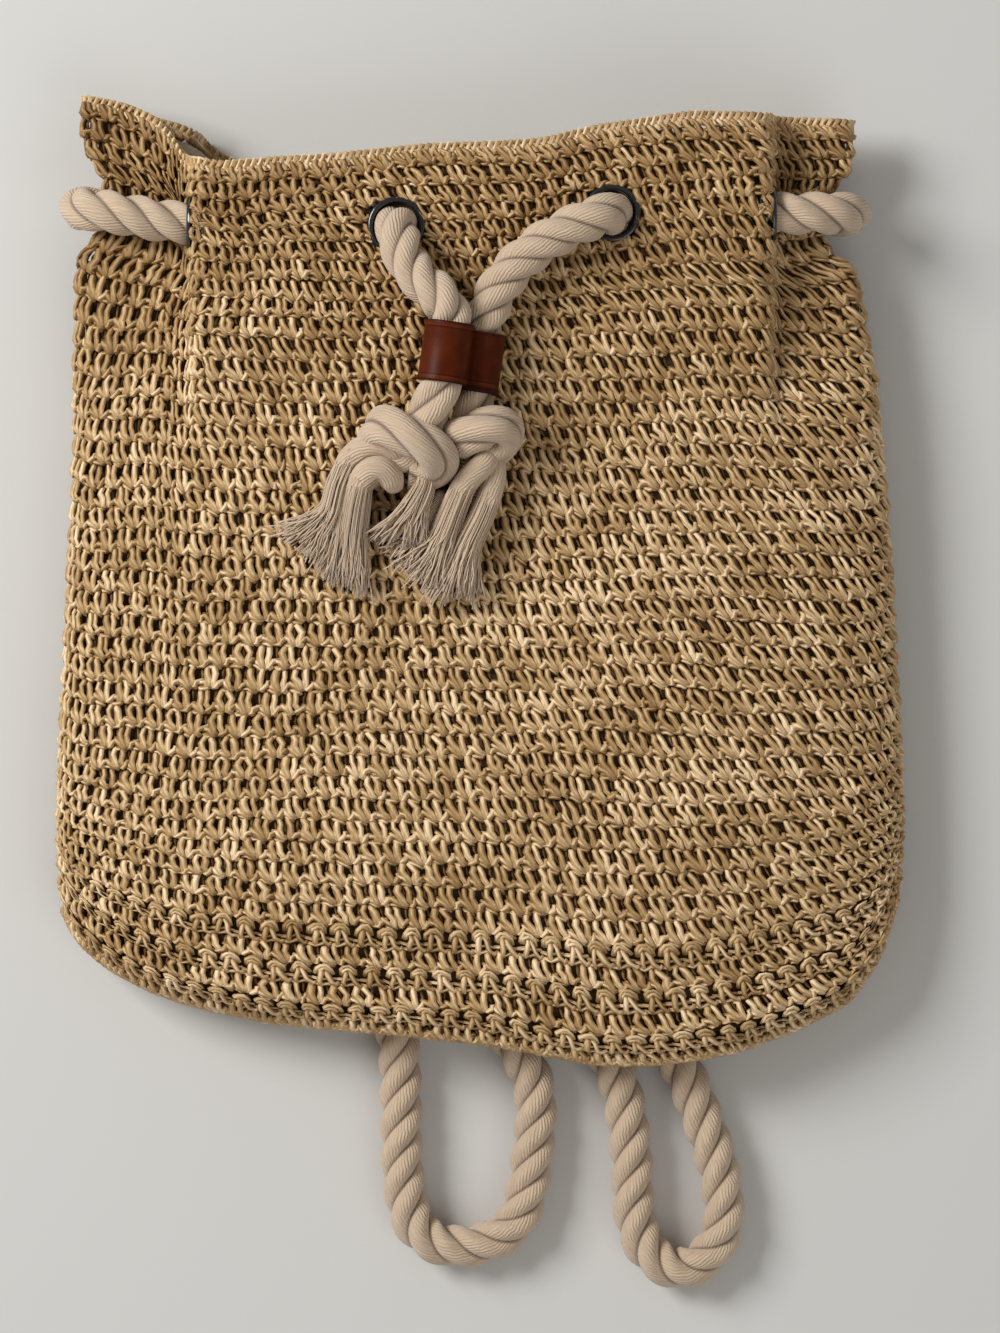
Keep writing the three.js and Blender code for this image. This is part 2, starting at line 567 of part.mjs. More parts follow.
// Where an eyelet sits: the middle of its wall, and its axis.
function eyeletPlace(eyelet) {
  const middle = WALLS / 2;
  const alongX = {
    left: PLEAT_LEFT + middle,
    right: PLEAT_RIGHT - middle,
    laced_left: read(HOLLOWS, "v", "left", LACED_V) * HALF_WIDTH - middle,
    laced_right: read(HOLLOWS, "v", "right", LACED_V) * HALF_WIDTH + middle,
  };
  const y = eyelet.y * HALF_LENGTH;
  if (eyelet.wall in alongX) {
    const z = eyelet.high ? BAG_DEPTH - EYELET_INSET - EYELET_OUTER / 2 : EYELET_LIFT + EYELET_OUTER / 2;
    return { place: new THREE.Vector3(alongX[eyelet.wall], y, z), axis: new THREE.Vector3(1, 0, 0) };
  }
  const z = eyelet.wall === "front" ? BAG_DEPTH - middle : HOLLOW_HEIGHT + middle;
  return { place: new THREE.Vector3(eyelet.x * HALF_WIDTH, y, z), axis: new THREE.Vector3(0, 0, 1) };
}

// A turned ring from a closed profile of radius and height pairs.
function turned(profile, sides) {
  const outline = [...profile, profile[0]].map(([radius, height]) => new THREE.Vector2(radius, height));
  const geometry = new THREE.LatheGeometry(outline, sides);
  geometry.rotateX(Math.PI / 2);
  return geometry;
}

function placed(geometry, { place, axis }) {
  const turn = new THREE.Quaternion().setFromUnitVectors(new THREE.Vector3(0, 0, 1), axis);
  return geometry.applyQuaternion(turn).translate(place.x, place.y, place.z);
}

// The eyelet's barrel with a flange on each side of the wall, and the seat cut for it.
const EYELET_SIDES = 10;
const FLANGE_IN = WALLS / 2 + CLEARANCE;
const FLANGE_OUT = FLANGE_IN + EYELET_FLANGE;

function eyeletRing() {
  const bore = EYELET_BORE / 2;
  const barrel = bore + EYELET_BARREL;
  const rim = EYELET_OUTER / 2;
  return turned([
    [bore, -FLANGE_OUT], [rim, -FLANGE_OUT], [rim, -FLANGE_IN], [barrel, -FLANGE_IN],
    [barrel, FLANGE_IN], [rim, FLANGE_IN], [rim, FLANGE_OUT], [bore, FLANGE_OUT],
  ], EYELET_SIDES);
}

function eyeletSeat() {
  const barrel = EYELET_BORE / 2 + EYELET_BARREL + CLEARANCE;
  const rim = EYELET_OUTER / 2 + CLEARANCE;
  const flat = FLANGE_IN - CLEARANCE;
  const deep = FLANGE_OUT + SEAT_DEPTH;
  return turned([
    [0, -deep], [rim, -deep], [rim, -flat], [barrel, -flat],
    [barrel, flat], [rim, flat], [rim, deep], [0, deep],
  ], EYELET_SIDES);
}

// The leather: two tubes side by side in one piece, round the two free ends.
function sliderPlace() {
  const turn = THREE.MathUtils.degToRad(SLIDER_TURN);
  const tilt = THREE.MathUtils.degToRad(SLIDER_TILT);
  const along = new THREE.Vector3(-Math.sin(turn), -Math.cos(turn), 0);
  const level = new THREE.Vector3(Math.cos(turn), -Math.sin(turn), 0);
  const across = level.multiplyScalar(Math.cos(tilt));
  across.z = -Math.sin(tilt);
  return { along, across, up: new THREE.Vector3().crossVectors(along, across) };
}

function leatherSlider() {
  const bore = SNUG_DIAMETER / 2 + CLEARANCE;
  const outer = bore + LEATHER;
  const apart = bore + LEATHER / 2;
  const neck = Math.acos(apart / outer);
  const shape = new THREE.Shape();
  shape.absarc(-apart, 0, outer, neck, 2 * Math.PI - neck, false);
  shape.absarc(apart, 0, outer, Math.PI + neck, 3 * Math.PI - neck, false);
  for (const side of [-1, 1]) {
    const hole = new THREE.Path();
    hole.absarc(side * apart, 0, bore / Math.cos(Math.PI / SLIDER_SEGMENTS), 0, 2 * Math.PI, true);
    shape.holes.push(hole);
  }
  const geometry = new THREE.ExtrudeGeometry(shape, {
    depth: SLIDER_LENGTH, bevelEnabled: false, curveSegments: SLIDER_SEGMENTS,
  });
  geometry.translate(0, 0, -SLIDER_LENGTH / 2);
  const { along, across, up } = sliderPlace();
  geometry.applyMatrix4(new THREE.Matrix4().makeBasis(across, up, along));
  return geometry.translate(...SLIDER_CENTRE);
}

// Places along the two tubes of the leather, where it holds the rope.
function sliderPlaces() {
  const { along, across } = sliderPlace();
  const apart = SNUG_DIAMETER / 2 + CLEARANCE + LEATHER / 2;
  return [-1, 1].flatMap((side) => [-0.3, 0, 0.3].map((share) => new THREE.Vector3(...SLIDER_CENTRE)
    .addScaledVector(across, side * apart)
    .addScaledVector(along, share * SLIDER_LENGTH)));
}

const model = new THREE.Group();
const FINISHES = {
  straw: new THREE.MeshStandardMaterial({ color: 0xd7be8c, roughness: 0.85, metalness: 0 }),
  lining: new THREE.MeshStandardMaterial({ color: 0xb9a282, roughness: 0.9, metalness: 0 }),
  cotton: new THREE.MeshStandardMaterial({ color: 0xcdb9a0, roughness: 0.95, metalness: 0 }),
  enamel: new THREE.MeshStandardMaterial({ color: 0x101214, roughness: 0.25, metalness: 0.6 }),
  leather: new THREE.MeshStandardMaterial({ color: 0x6e2f14, roughness: 0.5, metalness: 0 }),
};

function add(name, geometry, finish) {
  const mesh = new THREE.Mesh(geometry, FINISHES[finish]);
  mesh.name = name;
  model.add(mesh);
}

const EYELET_PLACES = EYELETS.map((eyelet) => eyeletPlace(eyelet));
const SNUG_PLACES = [...EYELET_PLACES.map(({ place }) => place), ...sliderPlaces()];
const seats = EYELET_PLACES.map((at) => solidOf(placed(eyeletSeat(), at)))
  .reduce((sum, next) => sum.add(next));
const pierced = (geometry) => geometryFrom(mainBody(solidOf(geometry).subtract(seats)));

add("straw_bag", pierced(bagLayer(ROWS, 0, STRAW_WALL)), "straw");
add("bag_lining", pierced(bagLayer(ROWS.slice(1, -2), STRAW_WALL + LINING_GAP, WALLS)), "lining");
EYELETS.forEach(({ name }, i) => add(name, placed(eyeletRing(), EYELET_PLACES[i]), "enamel"));
add("drawcord", rope(DRAWCORD, DRAWCORD_STEPS, { snug: SNUG_PLACES }), "cotton");
add("leather_slider", leatherSlider(), "leather");

// A free end with its knot and its frayed strands, grown by a clearance to press its
// neighbour in.
function knottedEnd(route, turn, strands, grown = 0) {
  const parts = [
    rope(route, END_STEPS, { diameter: ROPE_DIAMETER + 2 * grown, snug: SNUG_PLACES }),
    rope(turn, TURN_STEPS, { diameter: ROPE_DIAMETER + 2 * grown }),
  ];
  for (const strand of strands) {
    const size = { diameter: STRAND_DIAMETER + 2 * grown, sides: STRAND_SIDES };
    parts.push(rope(strand.route, STRAND_STEPS, size));
    parts.push(lock(new THREE.Vector3(...strand.route.at(-1)), strand.lock, grown));
  }
  return mainBody(parts.map(solidOf).reduce((sum, next) => sum.add(next)));
}
const leftEnd = knottedEnd(LEFT_END, LEFT_TURN, LEFT_STRANDS);
const leftEndGrown = knottedEnd(LEFT_END, LEFT_TURN, LEFT_STRANDS, CLEARANCE);
const rightEnd = knottedEnd(RIGHT_END, RIGHT_TURN, RIGHT_STRANDS);
add("drawcord_left_end", geometryFrom(leftEnd), "cotton");
add("drawcord_right_end", geometryFrom(mainBody(rightEnd.subtract(leftEndGrown))), "cotton");
add("strap_left", rope(STRAP_LEFT, STRAP_STEPS), "cotton");
add("strap_right", rope(STRAP_RIGHT, STRAP_STEPS), "cotton");

export default model;
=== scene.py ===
import math

import bmesh
import bpy
import numpy as np
from mathutils import Matrix, Vector


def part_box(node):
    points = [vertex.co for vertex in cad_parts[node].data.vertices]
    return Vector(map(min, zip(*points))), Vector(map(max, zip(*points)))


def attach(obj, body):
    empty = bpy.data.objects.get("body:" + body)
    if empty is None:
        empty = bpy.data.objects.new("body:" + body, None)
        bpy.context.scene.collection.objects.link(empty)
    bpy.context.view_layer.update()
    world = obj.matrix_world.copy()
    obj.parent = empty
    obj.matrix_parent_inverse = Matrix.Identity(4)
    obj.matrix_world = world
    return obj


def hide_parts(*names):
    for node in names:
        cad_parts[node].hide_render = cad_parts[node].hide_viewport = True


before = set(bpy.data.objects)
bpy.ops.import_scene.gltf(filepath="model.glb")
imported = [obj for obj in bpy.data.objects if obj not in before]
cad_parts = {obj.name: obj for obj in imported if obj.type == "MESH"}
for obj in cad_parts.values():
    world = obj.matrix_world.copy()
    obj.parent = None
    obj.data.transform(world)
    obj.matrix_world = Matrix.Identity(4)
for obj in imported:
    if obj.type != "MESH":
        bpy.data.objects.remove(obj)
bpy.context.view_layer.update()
MM = 0.001

# The camera looks straight down on the bag, as one who has just laid it on a bed.
# It stands far back, so that the mouth and the base show at the same scale.
PHOTO_SIZE = (1000, 1333)
PIXEL = 0.4 * MM
PHOTO_CENTRE = (8 * MM, -34.6 * MM)
CAMERA_HEIGHT = 2.4
VIEW_LEVEL = 30 * MM
SENSOR = 24

camera_data = bpy.data.cameras.new("camera")
camera_data.sensor_fit = "VERTICAL"
camera_data.sensor_height = SENSOR
camera_data.lens = SENSOR * (CAMERA_HEIGHT - VIEW_LEVEL) / (PHOTO_SIZE[1] * PIXEL)
camera = bpy.data.objects.new("camera", camera_data)
camera.location = (*PHOTO_CENTRE, CAMERA_HEIGHT)
bpy.context.scene.collection.objects.link(camera)
bpy.context.scene.camera = camera

# The shoulder ropes: three strands of soft cotton yarn laid right-handed, 17.5 mm thick.
# Each comes out of its upper eyelet, runs down under the back, makes the loop that shows
# below the base and goes up into its lower eyelet.
ROPE_RADIUS = 8.75 * MM
LAY_LENGTH = 39.5 * MM
STRAND_CENTRE = 0.4
STRAND_REACH = 0.6
LOBE_STEPS = 12
ROPE_STEP = 1.7 * MM
PATTERN_LENGTH = 10 * MM
CURVE_STEPS = 24
SOFTENINGS = 10
STRAP_LEFT = [
    [-16, 116, 19.1], [-16, 116, 18.3], [-15.9, 113.3, 11.8], [-15.7, 106.8, 9.1],
    [-15, 96, 9.1], [-12, 60, 9.1],
    [-9, 0, 9.1], [-7, -60, 9.1], [-5, -110, 9.1], [-1, -145, 9.1], [6, -172, 9.1],
    [14, -188, 9.1], [20.4, -198.4, 9.1], [22.4, -212.8, 9.1], [21.4, -228.4, 9.1],
    [18.8, -246.4, 9.1], [13.6, -260, 9.1], [3.6, -266.8, 9.1], [-8, -268.8, 9.1],
    [-19.2, -266.8, 9.1], [-26.8, -260, 9.1], [-31.2, -240.8, 9.1], [-32, -212.8, 9.1],
    [-33.5, -184, 9.1], [-40, -164, 9.1], [-46, -149.2, 9.1], [-46.9, -142.7, 11.8],
    [-47, -140, 18.3], [-47, -140, 19.1],
]
STRAP_RIGHT = [
    [16, 116, 19.1], [16, 116, 18.3], [16, 113.3, 11.8], [16, 106.8, 9.1],
    [16.4, 96, 9.1], [18, 60, 9.1],
    [22, 0, 9.1], [26, -60, 9.1], [30, -110, 9.1], [34.5, -142, 9.1], [41, -166, 9.1],
    [49, -187, 9.1], [54.4, -197.2, 9.1], [58.4, -212.8, 9.1], [61.2, -235.2, 9.1],
    [61.8, -253.2, 9.1], [65.2, -266.8, 9.1], [73, -275.6, 9.1], [82, -278, 9.1],
    [92, -272.4, 9.1], [97.6, -263.2, 9.1], [97.6, -246.4, 9.1], [94.4, -230.8, 9.1],
    [88.8, -215.2, 9.1], [83.2, -200.4, 9.1], [74.5, -184, 9.1], [64.5, -165, 9.1],
    [58, -149.2, 9.1], [57.1, -142.7, 11.8], [57, -140, 18.3], [57, -140, 19.1],
]


def route_line(points, step):
    """Evenly spaced points of a smooth line through a route, in metres."""
    p = np.array(points, float) * MM
    p = np.vstack([2 * p[0] - p[1], p, 2 * p[-1] - p[-2]])
    knots = np.concatenate([[0], np.cumsum(np.sqrt(np.linalg.norm(np.diff(p, axis=0), axis=1)))])
    line = []
    for i in range(1, len(p) - 2):
        t0, t1, t2, t3 = knots[i - 1:i + 3]
        for t in np.linspace(t1, t2, CURVE_STEPS, endpoint=False):
            a1 = ((t1 - t) * p[i - 1] + (t - t0) * p[i]) / (t1 - t0)
            a2 = ((t2 - t) * p[i] + (t - t1) * p[i + 1]) / (t2 - t1)
            a3 = ((t3 - t) * p[i + 1] + (t - t2) * p[i + 2]) / (t3 - t2)
            b1 = ((t2 - t) * a1 + (t - t0) * a2) / (t2 - t0)
            b2 = ((t3 - t) * a2 + (t - t1) * a3) / (t3 - t1)
            line.append(((t2 - t) * b1 + (t - t1) * b2) / (t2 - t1))
    line.append(p[-2])
    line = even_line(np.array(line), step)
    for _ in range(SOFTENINGS):
        line[1:-1] = line[1:-1] / 2 + (line[:-2] + line[2:]) / 4
    return even_line(line, step)


def way_along(line):
    """How far along the line each of its points lies."""
    return np.concatenate([[0], np.cumsum(np.linalg.norm(np.diff(line, axis=0), axis=1))])


def resampled(line, count):
    """The same line with evenly spaced points."""
    far = way_along(line)
    at = np.linspace(0, far[-1], count)
    return np.stack([np.interp(at, far, line[:, axis]) for axis in range(3)], axis=1)


def even_line(line, step):
    """The same line with points about one step apart."""
    return resampled(line, max(3, int(round(way_along(line)[-1] / step)) + 1))


def line_frames(line):
    """Tangents, and normals that turn no more than the line makes them."""
    tangents = np.gradient(line, axis=0)
    tangents /= np.linalg.norm(tangents, axis=1, keepdims=True)
    normal = np.cross(tangents[0], [0.31, 0.17, 0.93])
    normals = []
    for tangent in tangents:
        normal = normal - tangent * np.dot(normal, tangent)
        normal /= np.linalg.norm(normal)
        normals.append(normal)
    normals = np.array(normals)
    return tangents, normals, np.cross(tangents, normals)


def tube_points(line, angle, size):
    """Points round a line at the given angles and distances from it."""
    _, normals, binormals = line_frames(line)
    points = line[:, None] + normals[:, None] * (np.cos(angle) * size)[..., None]
    return points + binormals[:, None] * (np.sin(angle) * size)[..., None]


def mesh_piece(name, points, quads, uvs=None, caps=(), tones=None):
    """A piece from arrays: points, quads, a UV for each quad corner and closing faces."""
    mesh = bpy.data.meshes.new(name)
    sizes = np.concatenate([np.full(len(quads), 4), [len(cap) for cap in caps]]).astype(np.int32)
    corners = np.concatenate([np.asarray(quads).ravel(), *caps]).astype(np.int32)
    mesh.vertices.add(len(points))
    mesh.vertices.foreach_set("co", np.asarray(points, np.float32).ravel())
    mesh.loops.add(len(corners))
    mesh.loops.foreach_set("vertex_index", corners)
    mesh.polygons.add(len(sizes))
    starts = np.concatenate([[0], np.cumsum(sizes)[:-1]]).astype(np.int32)
    mesh.polygons.foreach_set("loop_start", starts)
    mesh.polygons.foreach_set("use_smooth", np.ones(len(sizes), bool))
    mesh.update(calc_edges=True)
    if uvs is not None:
        full = np.zeros((len(corners), 2), np.float32)
        full[:len(uvs)] = uvs
        mesh.uv_layers.new(name="UVMap").data.foreach_set("uv", full.ravel())
    if tones is not None:
        layer = mesh.attributes.new("tone", "FLOAT", "POINT")
        layer.data.foreach_set("value", np.asarray(tones, np.float32))
    piece = bpy.data.objects.new(name, mesh)
    bpy.context.scene.collection.objects.link(piece)
    return piece


def tube_faces(rings, sides):
    """Quads of a tube whose points go round ring by ring, and its two closing faces."""
    ring = np.arange(rings - 1)[:, None] * sides
    side = np.arange(sides)[None, :]
    after = (side + 1) % sides
    quads = np.stack([ring + side, ring + after, ring + sides + after, ring + sides + side], axis=2)
    first = np.arange(sides)[::-1]
    last = (rings - 1) * sides + np.arange(sides)
    return quads.reshape(-1, 4), [first, last]


def corner_uvs(across, down):
    """UVs for the corners of a tube's quads, from places across and down it."""
    uv = np.stack(np.broadcast_arrays(across, down), axis=2)
    corners = np.stack([uv[:-1, :-1], uv[:-1, 1:], uv[1:, 1:], uv[1:, :-1]], axis=2)
    return corners.reshape(-1, 2)


def laid_rope(name, line, phase=0.0, width=None, radius=ROPE_RADIUS, lay=LAY_LENGTH):
    """A rope of three strands along a line; width is its share of full thickness there,
    and lay the length of one turn, for the whole rope or for each point."""
    far = way_along(line)
    width = np.ones(len(line)) if width is None else width
    lobe = (np.arange(LOBE_STEPS) / LOBE_STEPS - 0.5) * 2 * math.pi / 3
    half_chord = np.sqrt(STRAND_REACH ** 2 - (STRAND_CENTRE * np.sin(lobe)) ** 2)
    reach = STRAND_CENTRE * np.cos(lobe) + half_chord
    around = np.concatenate([lobe + k * 2 * math.pi / 3 for k in range(3)])
    reach = np.tile(reach, 3)
    turn = phase + 2 * math.pi * np.cumsum(np.diff(far, prepend=0) / lay)
    angle = around[None, :] + turn[:, None]
    points = tube_points(line, angle, (radius * width)[:, None] * reach[None, :])
    quads, caps = tube_faces(len(line), len(around))
    turns = np.concatenate([angle, angle[:, :1] + 2 * math.pi], axis=1) / (2 * math.pi)
    uvs = corner_uvs(turns, far[:, None] / PATTERN_LENGTH)
    tones = np.tile(reach, len(line))
    return mesh_piece(name, points.reshape(-1, 3), quads, uvs, caps, tones)


def new_material(name, colour, roughness):
    """A material, its node tree, its shader and a maker of nodes."""
    material = bpy.data.materials.new(name)
    material.use_nodes = True
    nodes, links = material.node_tree.nodes, material.node_tree.links
    shader = nodes["Principled BSDF"]
    shader.inputs["Base Color"].default_value = (*colour, 1)
    shader.inputs["Roughness"].default_value = roughness

    def node(kind, inputs=None, **settings):
        made = nodes.new("ShaderNode" + kind)
        for key, value in settings.items():
            setattr(made, key, value)
        for key, value in (inputs or {}).items():
            if isinstance(value, bpy.types.NodeSocket):
                links.new(value, made.inputs[key])
            else:
                made.inputs[key].default_value = value
        return made

    return material, shader, node, links


def colour_ramp(node, factor, stops):
    """A colour ramp through pairs of place and colour."""
    ramp = node("ValToRGB", {"Fac": factor})
    band = ramp.color_ramp
    while len(band.elements) < len(stops):
        band.elements.new(0.5)
    for element, (place, colour) in zip(band.elements, stops):
        element.position = place
        element.color = (*colour, 1)
    return ramp.outputs["Color"]


COTTON = (0.62, 0.475, 0.335)
# dark colour of the painted shade in the grooves between the strands
COTTON_GROOVE_SHADE = (0.19, 0.125, 0.08)
YARN_RIDGES = 40

cotton, shader, node, links = new_material("cotton rope", COTTON, 0.95)
place = node("TexCoord").outputs["UV"]
streaks = node("Mapping", {"Vector": place, "Scale": (YARN_RIDGES, 0.9, 1)}).outputs["Vector"]
fibres = node("TexNoise", {"Vector": streaks, "Scale": 1.0, "Detail": 4, "Roughness": 0.7})
bend = node("TexNoise", {"Vector": place, "Scale": 2.4, "Detail": 2})
apart = node("SeparateXYZ", {"Vector": place})
sway = node("Math", {0: bend.outputs["Fac"], 1: 0.035}, operation="MULTIPLY")
across = node("Math", {0: apart.outputs["X"], 1: sway.outputs[0]}, operation="ADD")
wave = node("Math", {0: across.outputs[0], 1: 2 * math.pi * YARN_RIDGES}, operation="MULTIPLY")
ridges = node("Math", {0: wave.outputs[0]}, operation="SINE")
height = node("Math", {0: ridges.outputs[0], 1: 0.42, 2: fibres.outputs["Fac"]}, operation="MULTIPLY_ADD")
bump = node("Bump", {"Height": height.outputs[0], "Distance": 0.5 * MM, "Strength": 0.75})
links.new(bump.outputs["Normal"], shader.inputs["Normal"])
# painted shade: where a strand's surface lies deep in the groove between strands, the cotton is mixed
# towards a dark colour; fringe yarns with a low tone take some of it too
groove = node("Attribute", attribute_name="tone")
groove_shade = node("MapRange", {"Value": groove.outputs["Fac"], "From Min": 0.69, "From Max": 0.79})
mottle = colour_ramp(node, fibres.outputs["Fac"], [(0.3, (0.8, 0.77, 0.74)), (0.7, (1.06, 1.05, 1.04))])
tinted = node("Mix", {"A": (*COTTON_GROOVE_SHADE, 1), "B": (*COTTON, 1)}, data_type="RGBA")
links.new(groove_shade.outputs["Result"], tinted.inputs[0])
mixed = node("Mix", data_type="RGBA", blend_type="MULTIPLY")
mixed.inputs[0].default_value = 1
links.new(tinted.outputs[2], mixed.inputs[6])
links.new(mottle, mixed.inputs[7])
links.new(mixed.outputs[2], shader.inputs["Base Color"])
shader.inputs["Sheen Weight"].default_value = 0.25
shader.inputs["Sheen Roughness"].default_value = 0.6

for side, route, phase, length in (("left", STRAP_LEFT, 0.4, 0.55), ("right", STRAP_RIGHT, 1.3, 0.57)):
    line = route_line(route, ROPE_STEP)
    strap = laid_rope(f"shoulder_rope_{side}", line, phase)
    strap.data.materials.append(cotton)
    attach(strap, "root")
    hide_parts(f"strap_{side}")

# The straw body: one long yarn of twisted straw, crocheted round and round from the base
# to the mouth. The form is the laid-down bag's: flat folds at both sides of the mouth,
# pleats beside them, and a hollow in the back where the shoulder ropes lie.
BAG_HALF_WIDTH = 170 * MM
BAG_HALF_LENGTH = 192 * MM
BAG_DEPTH = 50 * MM
WING_HALF = 4.7 * MM
WING_HEIGHT = 25 * MM
PLEAT_LEFT = -115 * MM
PLEAT_RIGHT = 116.5 * MM
BEND_RADIUS = 6 * MM
HOLLOW_LEAN = 1 * MM
HOLLOW_HEIGHT = 21 * MM
LACED_HEIGHT = 24.3 * MM
BASE_DEPTH = 13 * MM
CROWN_FLATNESS = 3.2
CROWN_ROUNDNESS = 2.2
BACK_FLATNESS = 1.16
# v from the rim to the base; left and right edges as shares of the half width
SIDES = np.array([
    (0, -0.946, 0.889), (0.055, -0.945, 0.882), (0.088, -0.893, 0.82), (0.158, -0.893, 0.82),
    (0.19, -0.952, 0.893), (0.3, -0.96, 0.928), (0.42, -0.959, 0.953), (0.6, -0.976, 0.977),
    (0.8, -0.995, 0.995), (0.9, -1, 1), (1, -0.99, 0.99),
])
# s across the bag; y of the front and back rim as shares of the half length
RIM = np.array([
    (-1, 1, 1), (-0.9, 0.985, 0.98), (-0.81, 0.956, 0.955), (-0.765, 0.917, 0.945),
    (-0.735, 0.872, 0.94), (-0.7, 0.865, 0.921), (-0.64, 0.852, 0.885), (-0.5, 0.862, 0.85),
    (-0.35, 0.869, 0.85), (-0.1, 0.89, 0.868), (0.1, 0.896, 0.878), (0.2, 0.902, 0.885),
    (0.32, 0.927, 0.912), (0.58, 0.958, 0.942), (0.79, 0.954, 0.945), (1, 0.948, 0.948),
])
# s across the bag; y of the base as a share of the half length
BASE = np.array([
    (-1, -0.69), (-0.97, -0.75), (-0.9, -0.806), (-0.8, -0.854), (-0.7, -0.885), (-0.5, -0.923),
    (-0.2, -0.944), (0.05, -0.969), (0.27, -1.0065), (0.43, -1.0085), (0.62, -0.983),
    (0.76, -0.9375), (0.88, -0.885), (0.95, -0.8), (1, -0.667),
])
# v; height of the front and of the side folds as shares of theirs; share of the pleats
SECTIONS = np.array([
    (0, 0.94, 1, 1), (0.055, 1, 1, 1), (0.158, 1, 1, 1), (0.19, 0.98, 0.95, 0.88),
    (0.26, 0.95, 0.78, 0.45), (0.36, 0.93, 0.6, 0), (0.6, 0.9, 0.5, 0), (0.8, 0.92, 0.5, 0),
    (0.9, 0.88, 0.52, 0), (1, 0.8, 0.54, 0),
])
# v; the hollow's two sides as shares of the half width; its rise over the two ropes
HOLLOWS = np.array([
    (0, -0.106, 0.212, 0, 0.85), (0.055, -0.106, 0.212, 0, 1), (0.088, -0.106, 0.212, 0, 1),
    (0.12, -0.23, 0.27, 1, 0), (0.19, -0.25, 0.32, 1, 0), (0.6, -0.27, 0.38, 1, 0),
    (0.78, -0.33, 0.5, 1, 0), (0.87, -0.38, 0.58, 1, 0), (1, -0.38, 0.58, 0.95, 0),
])
# soft hollows and puffs: x, y and reach as shares of the half sizes, rise of the depth
DENTS = [
    (-0.45, 0.52, 0.3, -0.1), (0.5, 0.56, 0.26, -0.08), (-0.62, -0.1, 0.34, 0.05),
    (0.1, -0.22, 0.3, -0.06), (0.62, -0.15, 0.3, 0.05), (-0.3, -0.55, 0.36, 0.06),
    (0.35, -0.6, 0.34, 0.06), (0, -0.82, 0.22, -0.05),
]
STITCHES_AROUND = 84
STITCH_ROWS = 43
GRID_PER_STITCH = 4
STRAW_INSET = 1.5 * MM
WALL_BEND_SHARE = 0.45
FOLD_STEPS = 26
FOLD_CROWDING = 1.8
WALL_STEPS = 18
PANEL_STEPS = 16
HOLLOW_STEPS = 14
# height of the rows from the rim down, as shares of the common height
ROW_HEIGHTS = np.array([0.85] * 6 + [0.95] * 4 + [1.0] * 27 + [1.1, 0.8, 1.1, 0.8, 1.1, 0.8])


def read(table, column, at):
    """A table's column, read between its rows."""
    return np.interp(at, table[:, 0], table[:, column])


def rising_wall(t, rise, foot_radius, head_radius):
    """x and z of a wall with a bend at its foot and one at its head, t from 0 to 1."""
    bend = WALL_BEND_SHARE
    squash = min(1, abs(rise) / (foot_radius + head_radius))
    up = math.copysign(1, rise)
    foot, head = up * squash * foot_radius, rise - up * squash * head_radius
    low = np.clip(t / bend, 0, 1) * math.pi / 2
    high = np.clip((1 - t) / bend, 0, 1) * math.pi / 2
    middle = foot + (head - foot) * (t - bend) / (1 - 2 * bend)
    x = np.where(t <= bend, foot_radius * (np.sin(low) - 1), 0.0)
    x = np.where(t >= 1 - bend, head_radius * (1 - np.sin(high)), x)
    z = np.where(t <= bend, foot * (1 - np.cos(low)), middle)
    z = np.where(t >= 1 - bend, rise - (rise - head) * (1 - np.cos(high)), z)
    return x, z


